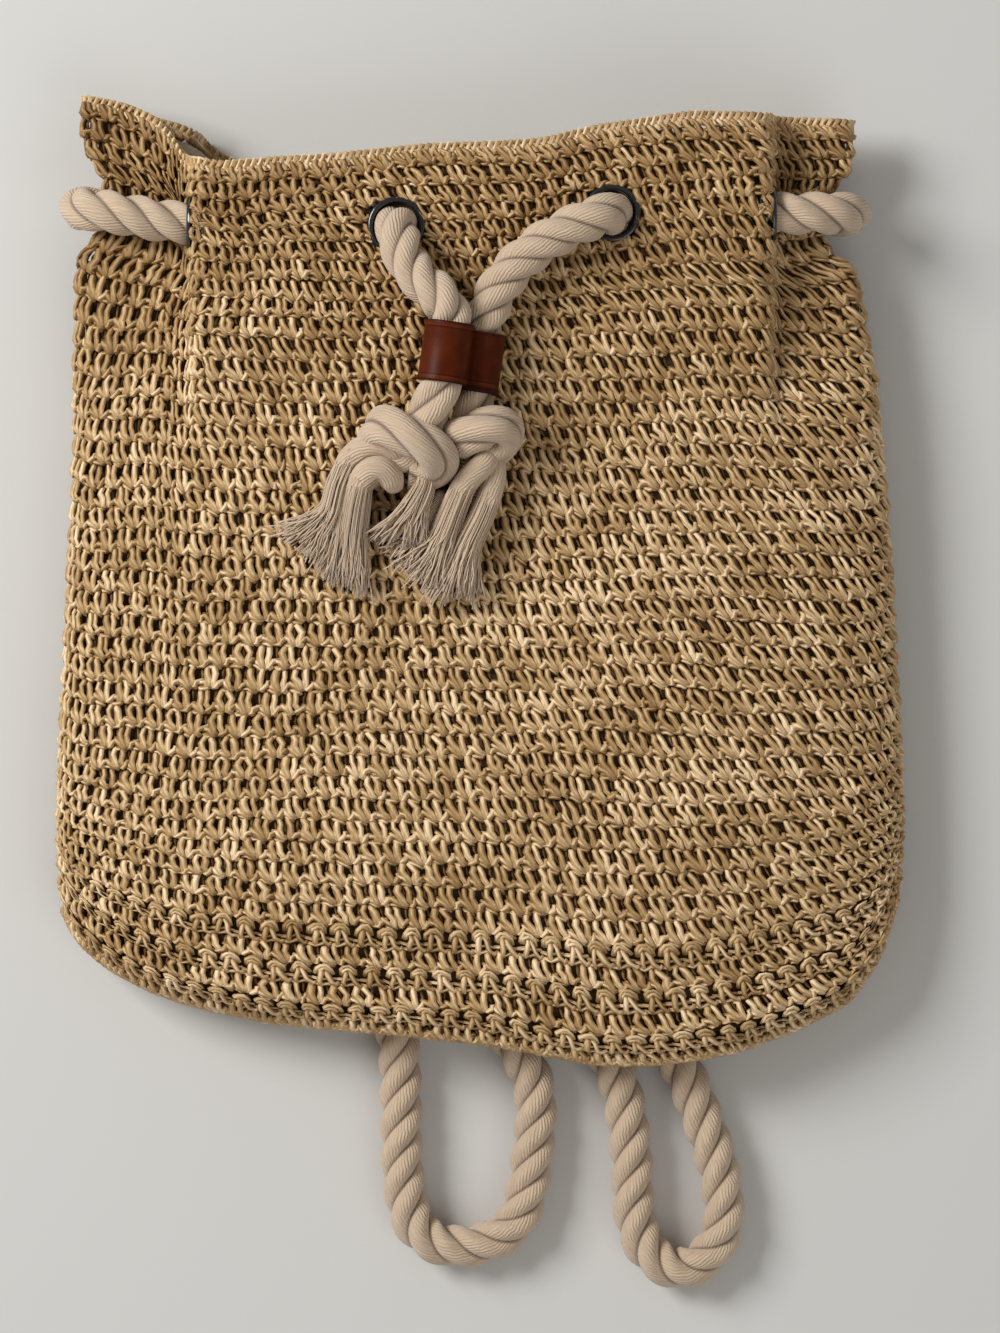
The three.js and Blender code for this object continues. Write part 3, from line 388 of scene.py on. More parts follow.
def section_points(v, inset):
    """Front and back points of one cross section, from the left edge to the right."""
    wing = WING_HALF - inset
    fold = read(SECTIONS, 2, v) * WING_HEIGHT
    left = read(SIDES, 1, v) * BAG_HALF_WIDTH + inset
    right = read(SIDES, 2, v) * BAG_HALF_WIDTH - inset
    top = read(SECTIONS, 1, v) * BAG_DEPTH - inset
    pleat = read(SECTIONS, 3, v)
    rise = read(HOLLOWS, 3, v) * HOLLOW_HEIGHT + read(HOLLOWS, 4, v) * LACED_HEIGHT
    hollow_left = read(HOLLOWS, 1, v) * BAG_HALF_WIDTH - inset
    hollow_right = read(HOLLOWS, 2, v) * BAG_HALF_WIDTH + inset
    pleat_left, pleat_right = PLEAT_LEFT + inset, PLEAT_RIGHT - inset
    near, far = BEND_RADIUS + inset, BEND_RADIUS - inset
    from_edge = np.linspace(0, 1, FOLD_STEPS, endpoint=False) ** FOLD_CROWDING
    steps = np.linspace(0, 1, WALL_STEPS, endpoint=False)
    flat = np.linspace(0, 1, PANEL_STEPS, endpoint=False)

    def edge_round(x):
        edge = np.clip(np.minimum((x - left) / wing, (right - x) / wing), 0, 1)
        return np.sqrt(1 - (1 - edge) ** 2)

    parts = []
    for side, outer, pleat_x, hollow_x in (
        (-1, left, pleat_left, hollow_left), (1, right, pleat_right, hollow_right),
    ):
        x = outer + (pleat_x + side * near - outer) * from_edge
        half = wing * edge_round(x)
        run = [(x, x, fold + half, fold - half, np.full_like(x, inset))]
        up_x, up_z = rising_wall(steps, top - fold - wing, near, far)
        _, down_z = rising_wall(steps, inset - fold + wing, near, far)
        x = pleat_x - side * up_x
        run.append((x, x, fold + wing + up_z, fold - wing + down_z, np.full_like(x, inset)))
        x = pleat_x - side * far + (hollow_x + side * far - pleat_x + side * far) * flat
        run.append((x, x, np.full_like(x, top), np.full_like(x, inset), np.full_like(x, inset)))
        wall_x, wall_z = rising_wall(steps, rise, far, near)
        back_x = hollow_x - side * wall_x
        front_x = back_x + side * (1 - steps) * HOLLOW_LEAN
        run.append((front_x, back_x, np.full_like(steps, top), inset + wall_z, inset + wall_z))
        parts.append([np.concatenate(column) for column in zip(*run)])
    x = np.linspace(hollow_left + near, hollow_right - near, HOLLOW_STEPS)
    middle = [x, x, np.full_like(x, top), np.full_like(x, inset + rise), np.full_like(x, inset + rise)]
    columns = [np.concatenate([a, m, b[::-1]]) for a, m, b in zip(parts[0], middle, parts[1])]
    front_x, back_x, front_z, back_z, floor = columns

    def point(x, drawn_z, is_front):
        s = 2 * (x - left) / (right - left) - 1
        crown = (1 - np.clip(np.abs(s), 0, 1) ** CROWN_FLATNESS) ** (1 / CROWN_ROUNDNESS)
        half = wing * edge_round(x)
        if is_front:
            crowned = fold + half + (top - fold - wing) * crown
        else:
            crowned = fold - half - (fold - wing - floor) * np.minimum(1, crown * BACK_FLATNESS)
        rim_y = read(RIM, 1 if is_front else 2, s) * BAG_HALF_LENGTH
        base_y = read(BASE, 1, s) * BAG_HALF_LENGTH + inset
        y = rim_y + (base_y - rim_y) * v
        z = crowned + (drawn_z - crowned) * pleat
        if is_front:
            for dent_x, dent_y, reach, dent_rise in DENTS:
                away = np.hypot(x / BAG_HALF_WIDTH - dent_x, y / BAG_HALF_LENGTH - dent_y) / reach
                z = z + dent_rise * BAG_DEPTH * np.exp(-away ** 2) * crown * (1 - pleat)
        closed = np.maximum(0, 1 - (1 - v) * (rim_y - base_y) / BASE_DEPTH)
        centre = fold + ((top + floor) / 2 - fold) * crown
        z = centre + (z - centre) * np.sqrt(1 - closed ** 2)
        return np.stack([x, y, z], axis=1)

    return point(front_x, front_z, True), point(back_x, back_z, False)


def smoothed(grid, times):
    """Softens a closed grid of rows along both ways; the rim and the last row keep still."""
    for _ in range(times):
        grid = (np.roll(grid, 1, axis=1) + 2 * grid + np.roll(grid, -1, axis=1)) / 4
        inner = (grid[:-2] + 2 * grid[1:-1] + grid[2:]) / 4
        grid = np.concatenate([grid[:1], inner, grid[-1:]])
    return grid


def bag_surface(inset, rows, around, levels=None):
    """A grid of points round the bag, from the rim to the base, with its normals; levels
    are the shares of the way down at which its rows lie."""
    levels = np.linspace(0, 1, rows) if levels is None else levels
    dense = np.concatenate([np.linspace(0, 0.94, 120), 1 - 0.06 * np.linspace(1, 0, 50)[1:] ** 2])
    half = around // 2
    loops = []
    for v in np.minimum(dense, 0.9995):
        front, back = section_points(v, inset)
        returning = resampled(back, half + 1)[::-1][1:-1]
        loops.append(np.concatenate([resampled(front, half + 1), returning]))
    loops = np.array(loops)
    lengths = np.linalg.norm(np.diff(loops, axis=0), axis=2)[:, 5:half - 5].mean(axis=1)
    far = np.concatenate([[0], np.cumsum(lengths)])
    at = np.interp(levels * far[-1], far, np.arange(len(dense)))
    low = np.minimum(at.astype(int), len(dense) - 2)
    share = (at - low)[:, None, None]
    grid = smoothed(loops[low] * (1 - share) + loops[low + 1] * share, 3)
    across = np.roll(grid, -1, axis=1) - np.roll(grid, 1, axis=1)
    down = np.gradient(grid, axis=0)
    normals = np.cross(down, across)
    normals /= np.linalg.norm(normals, axis=2, keepdims=True) + 1e-12
    return grid, normals


rng = np.random.default_rng(7)
row_levels = np.concatenate([[0], np.cumsum(ROW_HEIGHTS)]) / ROW_HEIGHTS.sum()
grid_rows = STITCH_ROWS * GRID_PER_STITCH + 1
straw_grid, straw_normals = bag_surface(
    STRAW_INSET, grid_rows, STITCHES_AROUND * GRID_PER_STITCH,
    np.interp(np.arange(grid_rows) / GRID_PER_STITCH, np.arange(STITCH_ROWS + 1), row_levels))


# rows over which the level stretch begins below the mouth and ends above the base, how
# level it gets, the front's columns that set the height, and the rows' least and most pitch
LEVEL_FROM = 13
LEVEL_UNTIL = 15
LEVELLING = 0.9
MIDDLE_COLUMNS = (12, 30)
SLIDE_SOFTENINGS = 30
PITCH_LIMITS = (0.55, 1.5)


def levelled(grid):
    """The same grid with its rows slid along the bag, so that between the mouth and the
    base each of them lies level right round it, as the rows of the crochet do."""
    rows, columns = grid.shape[:2]
    v = np.arange(rows) / GRID_PER_STITCH
    first, last = (column * GRID_PER_STITCH for column in MIDDLE_COLUMNS)
    middle = grid[:, first:last, 1].mean(axis=1)
    head = np.clip(v / LEVEL_FROM, 0, 1)
    tail = np.clip((STITCH_ROWS - v) / LEVEL_UNTIL, 0, 1)
    ease = head ** 2 * (3 - 2 * head) * tail ** 2 * (3 - 2 * tail) * LEVELLING
    slide = np.empty((rows, columns))
    for column in range(columns):
        falling = np.minimum.accumulate(grid[:, column, 1]) - np.arange(rows) * 1e-9
        slide[:, column] = (np.interp(-middle, -falling, v) - v) * ease
    for _ in range(SLIDE_SOFTENINGS):
        slide = slide / 2 + (np.roll(slide, 1, axis=1) + np.roll(slide, -1, axis=1)) / 4
    least, most = (pitch / GRID_PER_STITCH for pitch in PITCH_LIMITS)
    steps = np.clip(np.diff(v[:, None] + slide, axis=0), least, most)
    at = np.concatenate([np.zeros((1, columns)), np.cumsum(steps, axis=0)])
    at = at / at[-1] * (rows - 1)
    result = np.empty_like(grid)
    for column in range(columns):
        for axis in range(3):
            result[:, column, axis] = np.interp(at[:, column], np.arange(rows), grid[:, column, axis])
    return result, at


straw_grid, slid = levelled(straw_grid)
for column in range(straw_grid.shape[1]):
    for axis in range(3):
        straw_normals[:, column, axis] = np.interp(
            slid[:, column], np.arange(grid_rows), straw_normals[:, column, axis])


def on_straw(u, v):
    """Points and normals of the straw's middle, u in stitches round it, v in rows down."""
    x = np.mod(u, STITCHES_AROUND) * GRID_PER_STITCH
    y = np.clip(v, 0, STITCH_ROWS) * GRID_PER_STITCH
    x0 = np.floor(x).astype(int) % straw_grid.shape[1]
    x1 = (x0 + 1) % straw_grid.shape[1]
    y0 = np.minimum(np.floor(y).astype(int), straw_grid.shape[0] - 2)
    fx = (x - np.floor(x))[..., None]
    fy = (y - y0)[..., None]

    def blend(grid):
        upper = grid[y0, x0] * (1 - fx) + grid[y0, x1] * fx
        lower = grid[y0 + 1, x0] * (1 - fx) + grid[y0 + 1, x1] * fx
        return upper * (1 - fy) + lower * fy

    return blend(straw_grid), blend(straw_normals)


# One plain stitch: a pair of plump legs, the slanting turns of yarn that lock them in the
# row below, and behind them a bar and two more legs. Each strand: kind, width in
# millimetres, and its route: a across and b down in stitches, c out in millimetres.
PLAIN_STITCH = [
    ("leg", 2.4, [
        (0.24, -0.06, -0.7), (0.2, 0.08, 0.8), (0.2, 0.34, 1.5), (0.28, 0.62, 2.1),
        (0.42, 0.84, 1.9), (0.53, 0.97, 0.5)]),
    ("leg", 2.3, [
        (0.52, -0.06, -0.7), (0.58, 0.08, 0.8), (0.61, 0.36, 1.5), (0.61, 0.62, 1.9),
        (0.67, 0.86, 1.6), (0.78, 1.01, 0.4)]),
    ("bundle", 2.0, [
        (-0.14, 0.6, 0), (0, 0.65, 1.3), (0.17, 0.76, 2.1), (0.34, 0.92, 1.4), (0.42, 1.02, 0)]),
    ("arm", 1.9, [
        (0.54, 0.98, 0.2), (0.71, 0.9, 1.9), (0.88, 0.76, 2.1), (1.02, 0.66, 1.0), (1.08, 0.62, 0)]),
    ("arm", 1.6, [(-0.06, 0.9, 0.2), (0.1, 0.96, 1.2), (0.3, 1.05, 1.1), (0.42, 1.1, 0)]),
    ("bar", 2.2, [(-0.05, 0.82, -0.4), (0.3, 0.88, -0.3), (0.65, 0.82, -0.4), (1.05, 0.82, -0.4)]),
    ("back", 2.1, [(0.4, -0.04, -1.1), (0.42, 0.4, -1.0), (0.48, 0.85, -0.9)]),
    ("back", 2.0, [(0.88, -0.04, -1.3), (0.92, 0.4, -1.3), (0.98, 0.85, -1.1)]),
]
# A ridge stitch of the base: two strands arch over the post of the stitch below it, and
# its two legs spread under the arch.
RIDGE_STITCH = [
    ("leg", 1.6, [
        (0.14, 0.42, 0.3), (0.2, 0.16, 1.9), (0.4, -0.02, 2.8), (0.62, -0.02, 2.8),
        (0.8, 0.14, 1.9), (0.84, 0.38, 0.4)]),
    ("bundle", 1.4, [
        (0.24, 0.42, 0.6), (0.3, 0.2, 2), (0.46, 0.1, 2.9), (0.6, 0.12, 2.8), (0.74, 0.26, 1.8)]),
    ("leg", 1.9, [(0.48, 0.16, 1.8), (0.4, 0.4, 2.2), (0.32, 0.7, 1.9), (0.3, 0.98, 0.8)]),
    ("leg", 1.9, [
        (0.56, 0.16, 1.8), (0.64, 0.4, 2.1), (0.76, 0.72, 1.8), (0.94, 0.92, 1.2), (1.12, 0.84, 0.4)]),
    ("arm", 1.5, [(-0.05, 0.62, 0.2), (0.25, 0.66, 0.5), (0.65, 0.6, 0.4), (1.05, 0.62, 0.2)]),
    ("arm", 1.5, [(-0.02, 0.86, 0.3), (0.3, 0.95, 0.6), (0.65, 0.85, 0.4), (1.05, 0.86, 0.2)]),
    ("back", 1.9, [(0.3, 0.05, -0.8), (0.4, 0.5, -0.8), (0.45, 1, -0.8)]),
    ("back", 1.9, [(0.75, 0.05, -0.8), (0.72, 0.5, -0.8), (0.7, 1, -0.8)]),
]
RIDGE_ROWS = (37, 39, 41)
STITCH_ACROSS = 8.2 * MM
STITCH_DOWN = 8.8 * MM
FRONT_SIDES = {"leg": 5, "bundle": 5, "arm": 4, "bar": 4, "back": 3}
BACK_SIDES = {"leg": 4, "bundle": 3, "bar": 3}
VARIANTS = 16
YARN_FLATNESS = 0.86
# strands behind the stitch get a lower tone: painted shade
BEHIND_PAINTED_SHADE = 0.55


def yarn_tube(line, radii, sides):
    """Points of a tube along a line in (a, b, c); its section is flat towards c."""
    scale = np.array([STITCH_ACROSS, STITCH_DOWN, MM])
    real = line * scale
    tangents = np.gradient(real, axis=0)
    tangents /= np.linalg.norm(tangents, axis=1, keepdims=True)
    out = np.array([0, 0, 1.0]) - tangents * tangents[:, 2:3]
    out /= np.linalg.norm(out, axis=1, keepdims=True) + 1e-9
    side = np.cross(tangents, out)
    angle = np.arange(sides) * 2 * math.pi / sides + math.pi / 2
    ring = np.cos(angle)[:, None] * side[:, None] + YARN_FLATNESS * np.sin(angle)[:, None] * out[:, None]
    return (real[:, None] + ring * radii[:, None, None]).reshape(-1, 3) / scale


def stitch_tile(strands, sides, loose):
    """One stitch with its own small irregularities: points, quads, caps, UVs and tones."""
    points, quads, caps, uvs, tones = [], [], [], [], []
    start = 0
    for kind, width, route in strands:
        if kind not in sides:
            continue
        line = np.array(route, float)
        wander = rng.normal(0, loose, (len(line), 3)) * [1, 0.8, 2.2]
        if kind == "bar":
            wander[0] = wander[-1] = 0
        line = line + wander
        around = sides[kind]
        swell = 0.74 + 0.34 * np.sin(np.linspace(0.12, 0.9, len(line)) * math.pi)
        radii = width * MM / 2 * rng.uniform(0.88, 1.14) * swell
        points.append(yarn_tube(line, radii, around))
        faces, ends = tube_faces(len(line), around)
        quads.append(faces + start)
        caps += [end + start for end in ends]
        uvs.append(corner_uvs(np.arange(around + 1) / around, np.arange(len(line))[:, None] * 1.0))
        # the strands behind are painted darker as shade
        tone = BEHIND_PAINTED_SHADE if kind == "back" else 1.0
        tones.append(np.full(len(points[-1]), tone + rng.normal(0, 0.09)))
        start += len(points[-1])
    points, quads, uvs, tones = (np.concatenate(each) for each in (points, quads, uvs, tones))
    return points, quads, caps, uvs, tones


def wave_noise(u, v, waves):
    """A soft random field over the bag, from a few seeded waves."""
    total = 0
    for across, down, phase, size in waves:
        total = total + size * np.sin(across * u * 2 * math.pi / STITCHES_AROUND + down * v + phase)
    return total


lean_waves = [(rng.integers(1, 7), rng.uniform(0.1, 0.5), rng.uniform(0, 6.3), 0.5) for _ in range(6)]
drift_waves = [(rng.integers(1, 9), rng.uniform(0.1, 0.6), rng.uniform(0, 6.3), 0.4) for _ in range(6)]
tone_waves = [(rng.integers(2, 14), rng.uniform(0.2, 1.4), rng.uniform(0, 6.3), 0.4) for _ in range(8)]
ring_centres = {}
for node_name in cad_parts:
    if node_name.startswith("eyelet"):
        low, high = (np.array(corner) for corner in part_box(node_name))
        ring_centres[node_name] = ((low + high) / 2, int(np.argmin(high - low)))
FLOOR_CLEAR = 0.15 * MM
RING_CLEAR = 10.6 * MM
RING_HOLE = 8.4 * MM
RING_THROUGH = 6 * MM
# an eyelet in a pleat stands upright: the stitches above it stay, and arch over it
ABOVE_RING = 5 * MM
ARCH_FOOT = 7 * MM
ARCH_RADIUS = 12.1 * MM
ARCH_HALF = 9 * MM


def out_of_holes(centres):
    """Which stitches stay: all but those in the hole of an eyelet."""
    keep = np.ones(len(centres), bool)
    for centre, axis in ring_centres.values():
        away = np.delete(centres - centre, axis, axis=1)
        through = np.abs(centres[:, axis] - centre[axis])
        in_hole = (np.linalg.norm(away, axis=1) < RING_HOLE) & (through < RING_THROUGH)
        keep &= ~in_hole | ((axis == 0) & (centres[:, 2] > centre[2] + ABOVE_RING))
    return keep


def round_eyelets(placed):
    """Pushes points out of the eyelets, and over those that stand in a pleat."""
    for centre, axis in ring_centres.values():
        away = placed - centre
        through = np.abs(away[..., axis])
        away[..., axis] = 0
        distance = np.linalg.norm(away, axis=2, keepdims=True)
        pushed = centre + away / (distance + 1e-9) * RING_CLEAR
        pushed[..., axis] = placed[..., axis]
        inside = (distance[..., 0] < RING_CLEAR) & (through < RING_THROUGH)
        over = (axis == 0) & (placed[..., 2] > centre[2] + ARCH_FOOT)
        placed = np.where((inside & ~over)[..., None], pushed, placed)
        arch = centre[2] + np.sqrt(np.maximum(ARCH_RADIUS ** 2 - away[..., 1] ** 2, 0))
        under = over & (through < RING_THROUGH) & (np.abs(away[..., 1]) < ARCH_HALF)
        placed[..., 2] = np.where(under, np.maximum(placed[..., 2], arch), placed[..., 2])
    return placed


# in stitches: how far each row sits beside the one above it and how much the stitches lean;
# then how unevenly they are worked, and how much painted shade darkens the mouth and the side folds
ROW_SHIFT = 0.38
WAVY_LEAN = 0.09
RIGHT_LEAN = 0.7
MOUTH_LEAN = 0.16
DRIFT = 0.15
LOOSENESS = 0.05
THICKNESS_SPREAD = 0.06
TONE_SPREAD = 0.07
TONE_DRIFT = 0.05
MOUTH_PAINTED_SHADE = 0.21
FOLD_PAINTED_SHADE = 0.2


def crochet(name, rows, columns, tiles):
    """A band of stitches as one mesh, laid on the bag's surface."""
    all_points, all_quads, all_uvs, all_tones, all_caps = [], [], [], [], []
    start = 0
    cells = [(row, column) for row in rows for column in columns]
    chosen = rng.integers(0, len(tiles), len(cells))
    for number, (points, quads, caps, uvs, tones) in enumerate(tiles):
        mine = np.array([cell for cell, pick in zip(cells, chosen) if pick == number], float)
        if not len(mine):
            continue
        row, column = mine[:, 0], mine[:, 1]
        across = column / (STITCHES_AROUND / 2)
        lean = WAVY_LEAN * wave_noise(column, row, lean_waves)
        lean = lean + RIGHT_LEAN * np.clip(across - 0.3, -0.1, 0.55) + MOUTH_LEAN * np.exp(-row / 6)
        lift = wave_noise(column * 1.7, row * 1.3, drift_waves)
        jitter = rng.normal(0, LOOSENESS, (len(mine), 2))
        stretch = 1 + rng.normal(0, THICKNESS_SPREAD, len(mine))
        a, b, c = points[:, 0], points[:, 1], points[:, 2]
        shift = -np.mod(ROW_SHIFT * row, 1)
        inner = np.clip(1 - np.abs(a - 0.5) * 2, 0, 1)
        u = column[:, None] + shift[:, None] + a[None] + lean[:, None] * (b[None] - 0.5)
        u = u + jitter[:, :1] * inner[None]
        v = row[:, None] + b[None] + DRIFT * lift[:, None] + jitter[:, 1:] * inner[None]
        place, normal = on_straw(u, v)
        out = (c[None] * stretch[:, None] * MM)[..., None]
        placed = place + normal * out
        placed[..., 2] = np.maximum(placed[..., 2], FLOOR_CLEAR)
        tone = tones[None] + rng.normal(0, TONE_SPREAD, (len(mine), 1))
        tone = tone + TONE_DRIFT * wave_noise(column, row, tone_waves)[:, None]
        # painted shade: darker towards the mouth, and at the side folds in the upper rows
        tone = tone - MOUTH_PAINTED_SHADE * np.clip(1.4 - row / 9, 0, 1)[:, None]
        fold = np.clip(1 - np.minimum(column % STITCHES_AROUND, -column % STITCHES_AROUND) / 6, 0, 1)
        tone = tone - (FOLD_PAINTED_SHADE * fold * np.clip(1.6 - row / 11, 0, 1))[:, None]
        keep = out_of_holes(placed.mean(axis=1))
        placed, tone = round_eyelets(placed[keep]), tone[keep]
        count = len(placed)
        offset = start + np.arange(count)[:, None, None] * len(points)
        all_points.append(placed.reshape(-1, 3))
        all_tones.append(tone.reshape(-1))
        all_quads.append((quads[None] + offset).reshape(-1, 4))
        all_uvs.append(np.tile(uvs, (count, 1)))
        for cap in caps:
            all_caps += list(cap[None] + offset[:, 0])
        start += count * len(points)
    return mesh_piece(
        name, np.concatenate(all_points), np.concatenate(all_quads), np.concatenate(all_uvs),
        all_caps, np.concatenate(all_tones))


STRAW = (0.53, 0.345, 0.155)
STRAW_DARK = (0.17, 0.08, 0.018)
straw, shader, node, links = new_material("crocheted straw", STRAW, 0.5)
shader.inputs["Specular IOR Level"].default_value = 0.45
place = node("TexCoord")
along = node("Mapping", {"Vector": place.outputs["UV"], "Scale": (7, 0.7, 1)}).outputs["Vector"]
ply = node("TexNoise", {"Vector": along, "Scale": 1.0, "Detail": 3})
speck = node("TexNoise", {"Vector": place.outputs["Object"], "Scale": 260, "Detail": 2})
apart = node("SeparateXYZ", {"Vector": place.outputs["UV"]})
turns = node(
    "Math", {0: apart.outputs["X"], 1: 4 * math.pi, 2: apart.outputs["Y"]}, operation="MULTIPLY_ADD")
twist = node("Math", {0: turns.outputs[0]}, operation="SINE")
height = node("Math", {0: twist.outputs[0], 1: 0.35, 2: ply.outputs["Fac"]}, operation="MULTIPLY_ADD")
bump = node("Bump", {"Height": height.outputs[0], "Distance": 0.5 * MM, "Strength": 0.7})
links.new(bump.outputs["Normal"], shader.inputs["Normal"])
tone = node("Attribute", attribute_name="tone")
patchy = node("Math", {0: speck.outputs["Fac"], 1: 0.3, 2: tone.outputs["Fac"]}, operation="MULTIPLY_ADD")
fine = node("Math", {0: ply.outputs["Fac"], 1: 0.5}, operation="SUBTRACT")
# painted shade and highlight along the plies: the twist darkens the grooves between them and lightens
# their ridges
with_ply_shade = node("Math", {0: twist.outputs[0], 1: 0.1, 2: patchy.outputs[0]}, operation="MULTIPLY_ADD")
shade = node("Math", {0: fine.outputs[0], 1: 1.1, 2: with_ply_shade.outputs[0]}, operation="MULTIPLY_ADD")
level = node("MapRange", {"Value": shade.outputs[0], "From Min": 0.3, "From Max": 1.5})
# the ramp's dark end takes the painted shade of the strands behind, the mouth and the side folds; its
# light end, reached by bright streaks of the ply noise, is partly the yarn's own light fibres and partly
# painted highlight
straw_ramp = colour_ramp(node, level.outputs["Result"], [
    (0.1, STRAW_DARK), (0.42, (0.33, 0.19, 0.07)), (0.7, STRAW), (0.95, (0.9, 0.68, 0.42))])
links.new(straw_ramp, shader.inputs["Base Color"])

front_tiles = [stitch_tile(PLAIN_STITCH, FRONT_SIDES, 0.055) for _ in range(VARIANTS)]
ridge_tiles = [stitch_tile(RIDGE_STITCH, FRONT_SIDES, 0.03) for _ in range(VARIANTS)]
back_tiles = [stitch_tile(PLAIN_STITCH, BACK_SIDES, 0.04) for _ in range(VARIANTS)]
FRONT_COLUMNS = range(-1, STITCHES_AROUND // 2 + 2)
BACK_COLUMNS = range(STITCHES_AROUND // 2 + 2, STITCHES_AROUND - 1)
BASE_ROWS = [row for row in range(29, STITCH_ROWS) if row not in RIDGE_ROWS]
BANDS = [
    ("straw_front_mouth", range(0, 15), FRONT_COLUMNS, front_tiles),
    ("straw_front_middle", range(15, 29), FRONT_COLUMNS, front_tiles),
    ("straw_front_base", BASE_ROWS, FRONT_COLUMNS, front_tiles),
    ("straw_front_ridges", RIDGE_ROWS, FRONT_COLUMNS, ridge_tiles),
    ("straw_back_mouth", range(0, 21), BACK_COLUMNS, back_tiles),
    ("straw_back_base", range(21, STITCH_ROWS), BACK_COLUMNS, back_tiles),
]
for name, rows, columns, tiles in BANDS:
    band = crochet(name, rows, columns, tiles)
    band.data.materials.append(straw)
    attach(band, "root")
    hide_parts("straw_bag")


BRAID_STEPS = 6
EDGE_SIDES = 5


def ring_braid(name, v, width, reach_down, reach_out, sides):
    """Three yarns plaited round the bag at one level, each a closed tube."""
    count = STITCHES_AROUND * BRAID_STEPS
    turn = np.arange(count) / count * STITCHES_AROUND
    points, quads, uvs, tones = [], [], [], []
    for strand in range(3):
        phase = 2 * math.pi * (turn + strand / 3)
        uneven = wave_noise(turn * 5, np.full(count, strand * 2.0), tone_waves)
        place, normal = on_straw(turn, np.maximum(v + reach_down * np.sin(phase) + 0.03 * uneven, 0))
        line = place + normal * (reach_out * np.sin(2 * phase) * MM)[:, None]
        line[:, 1] += reach_down * np.minimum(np.sin(phase), 0) * -STITCH_DOWN * (v < 0.5)
        tangents = np.roll(line, -1, axis=0) - np.roll(line, 1, axis=0)
        tangents /= np.linalg.norm(tangents, axis=1, keepdims=True)
        side = np.cross(tangents, normal)
        side /= np.linalg.norm(side, axis=1, keepdims=True)
        out = np.cross(side, tangents)
        angle = np.arange(sides) * 2 * math.pi / sides
        ring = np.cos(angle)[:, None] * side[:, None] + np.sin(angle)[:, None] * out[:, None]
        tube = line[:, None] + ring * (width / 2)
        tube[..., 2] = np.maximum(tube[..., 2], FLOOR_CLEAR)
        faces, _ = tube_faces(count + 1, sides)
        quads.append(faces % (count * sides) + strand * count * sides)
        down = np.arange(count + 1)[:, None] * 2 / BRAID_STEPS
        uvs.append(corner_uvs(np.arange(sides + 1) / sides, down))
        points.append(tube.reshape(-1, 3))
        tones.append(np.repeat(1.05 + 0.06 * uneven, sides))
    return mesh_piece(
        name, np.concatenate(points), np.concatenate(quads), np.concatenate(uvs),
        tones=np.concatenate(tones))


for name, v, width, reach_down, reach_out in (
    ("rim_braid", 0.16, 2.2 * MM, 0.24, 1.2), ("base_braid", STITCH_ROWS - 0.2, 1.9 * MM, 0.2, 1.0),
):
    braid = ring_braid(name, v, width, reach_down, reach_out, EDGE_SIDES)
    braid.data.flip_normals()
    braid.data.materials.append(straw)
    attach(braid, "root")
    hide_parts("straw_bag")


# each stitch starts and ends over half a row up, rises off the straw and bulges at the edge
EDGE_ROWS = np.array([0.55, 0.2, 0.0])
EDGE_RISE = np.array([0.9, 1.3, 1.5]) * MM
EDGE_BULGE = 0.6 * MM
EDGE_SLANT = 0.4


def edge_stitches(name, step, width, sides):
    """Slanting stitches that close the base, from the front's last row to the back's."""
    turn = np.arange(step / 2, STITCHES_AROUND / 2, step)[:, None]
    turn, level = np.broadcast_arrays(turn, STITCH_ROWS - EDGE_ROWS)
    front, front_out = on_straw(turn, level)
    back, back_out = on_straw(STITCHES_AROUND - EDGE_SLANT - turn, level)
    back, back_out = back[:, ::-1], back_out[:, ::-1]
    rise = EDGE_RISE[None, :, None]
    front = front + front_out * rise
    back = back + back_out * rise[:, ::-1]
    bulge = front_out[:, -1:] + back_out[:, :1]
    bulge /= np.linalg.norm(bulge, axis=2, keepdims=True) + 1e-9
    middle = (front[:, -1:] + back[:, :1]) / 2 + bulge * EDGE_BULGE
    line = np.concatenate([front, middle, back], axis=1)
    tangents = np.gradient(line, axis=1)
    tangents /= np.linalg.norm(tangents, axis=2, keepdims=True) + 1e-9
    side = np.cross(tangents, np.concatenate([front_out, bulge, back_out], axis=1))
    side /= np.linalg.norm(side, axis=2, keepdims=True) + 1e-9
    out = np.cross(side, tangents)
    angle = np.arange(sides) * 2 * math.pi / sides
    around = np.cos(angle)[:, None] * side[:, :, None] + np.sin(angle)[:, None] * out[:, :, None]
    uneven = wave_noise(turn[:, 0] * 9, turn[:, 0], tone_waves)
    points = line[:, :, None] + around * (width / 2 * (1 + 0.1 * uneven))[:, None, None, None]
    points[..., 2] = np.maximum(points[..., 2], FLOOR_CLEAR)
    faces, ends = tube_faces(line.shape[1], sides)
    offset = np.arange(len(turn))[:, None, None] * line.shape[1] * sides
    uv = corner_uvs(np.arange(sides + 1) / sides, np.arange(line.shape[1])[:, None] * 0.5)
    caps = [cap for end in ends for cap in end[None] + offset[:, 0]]
    tones = np.repeat(0.97 + 0.09 * uneven, line.shape[1] * sides)
    return mesh_piece(
        name, points.reshape(-1, 3), (faces[None] + offset).reshape(-1, 4),
        np.tile(uv, (len(turn), 1)), caps, tones)


base_edge = edge_stitches("base_edge", 0.28, 2.3 * MM, EDGE_SIDES)
base_edge.data.flip_normals()
base_edge.data.materials.append(straw)
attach(base_edge, "root")
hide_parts("straw_bag")

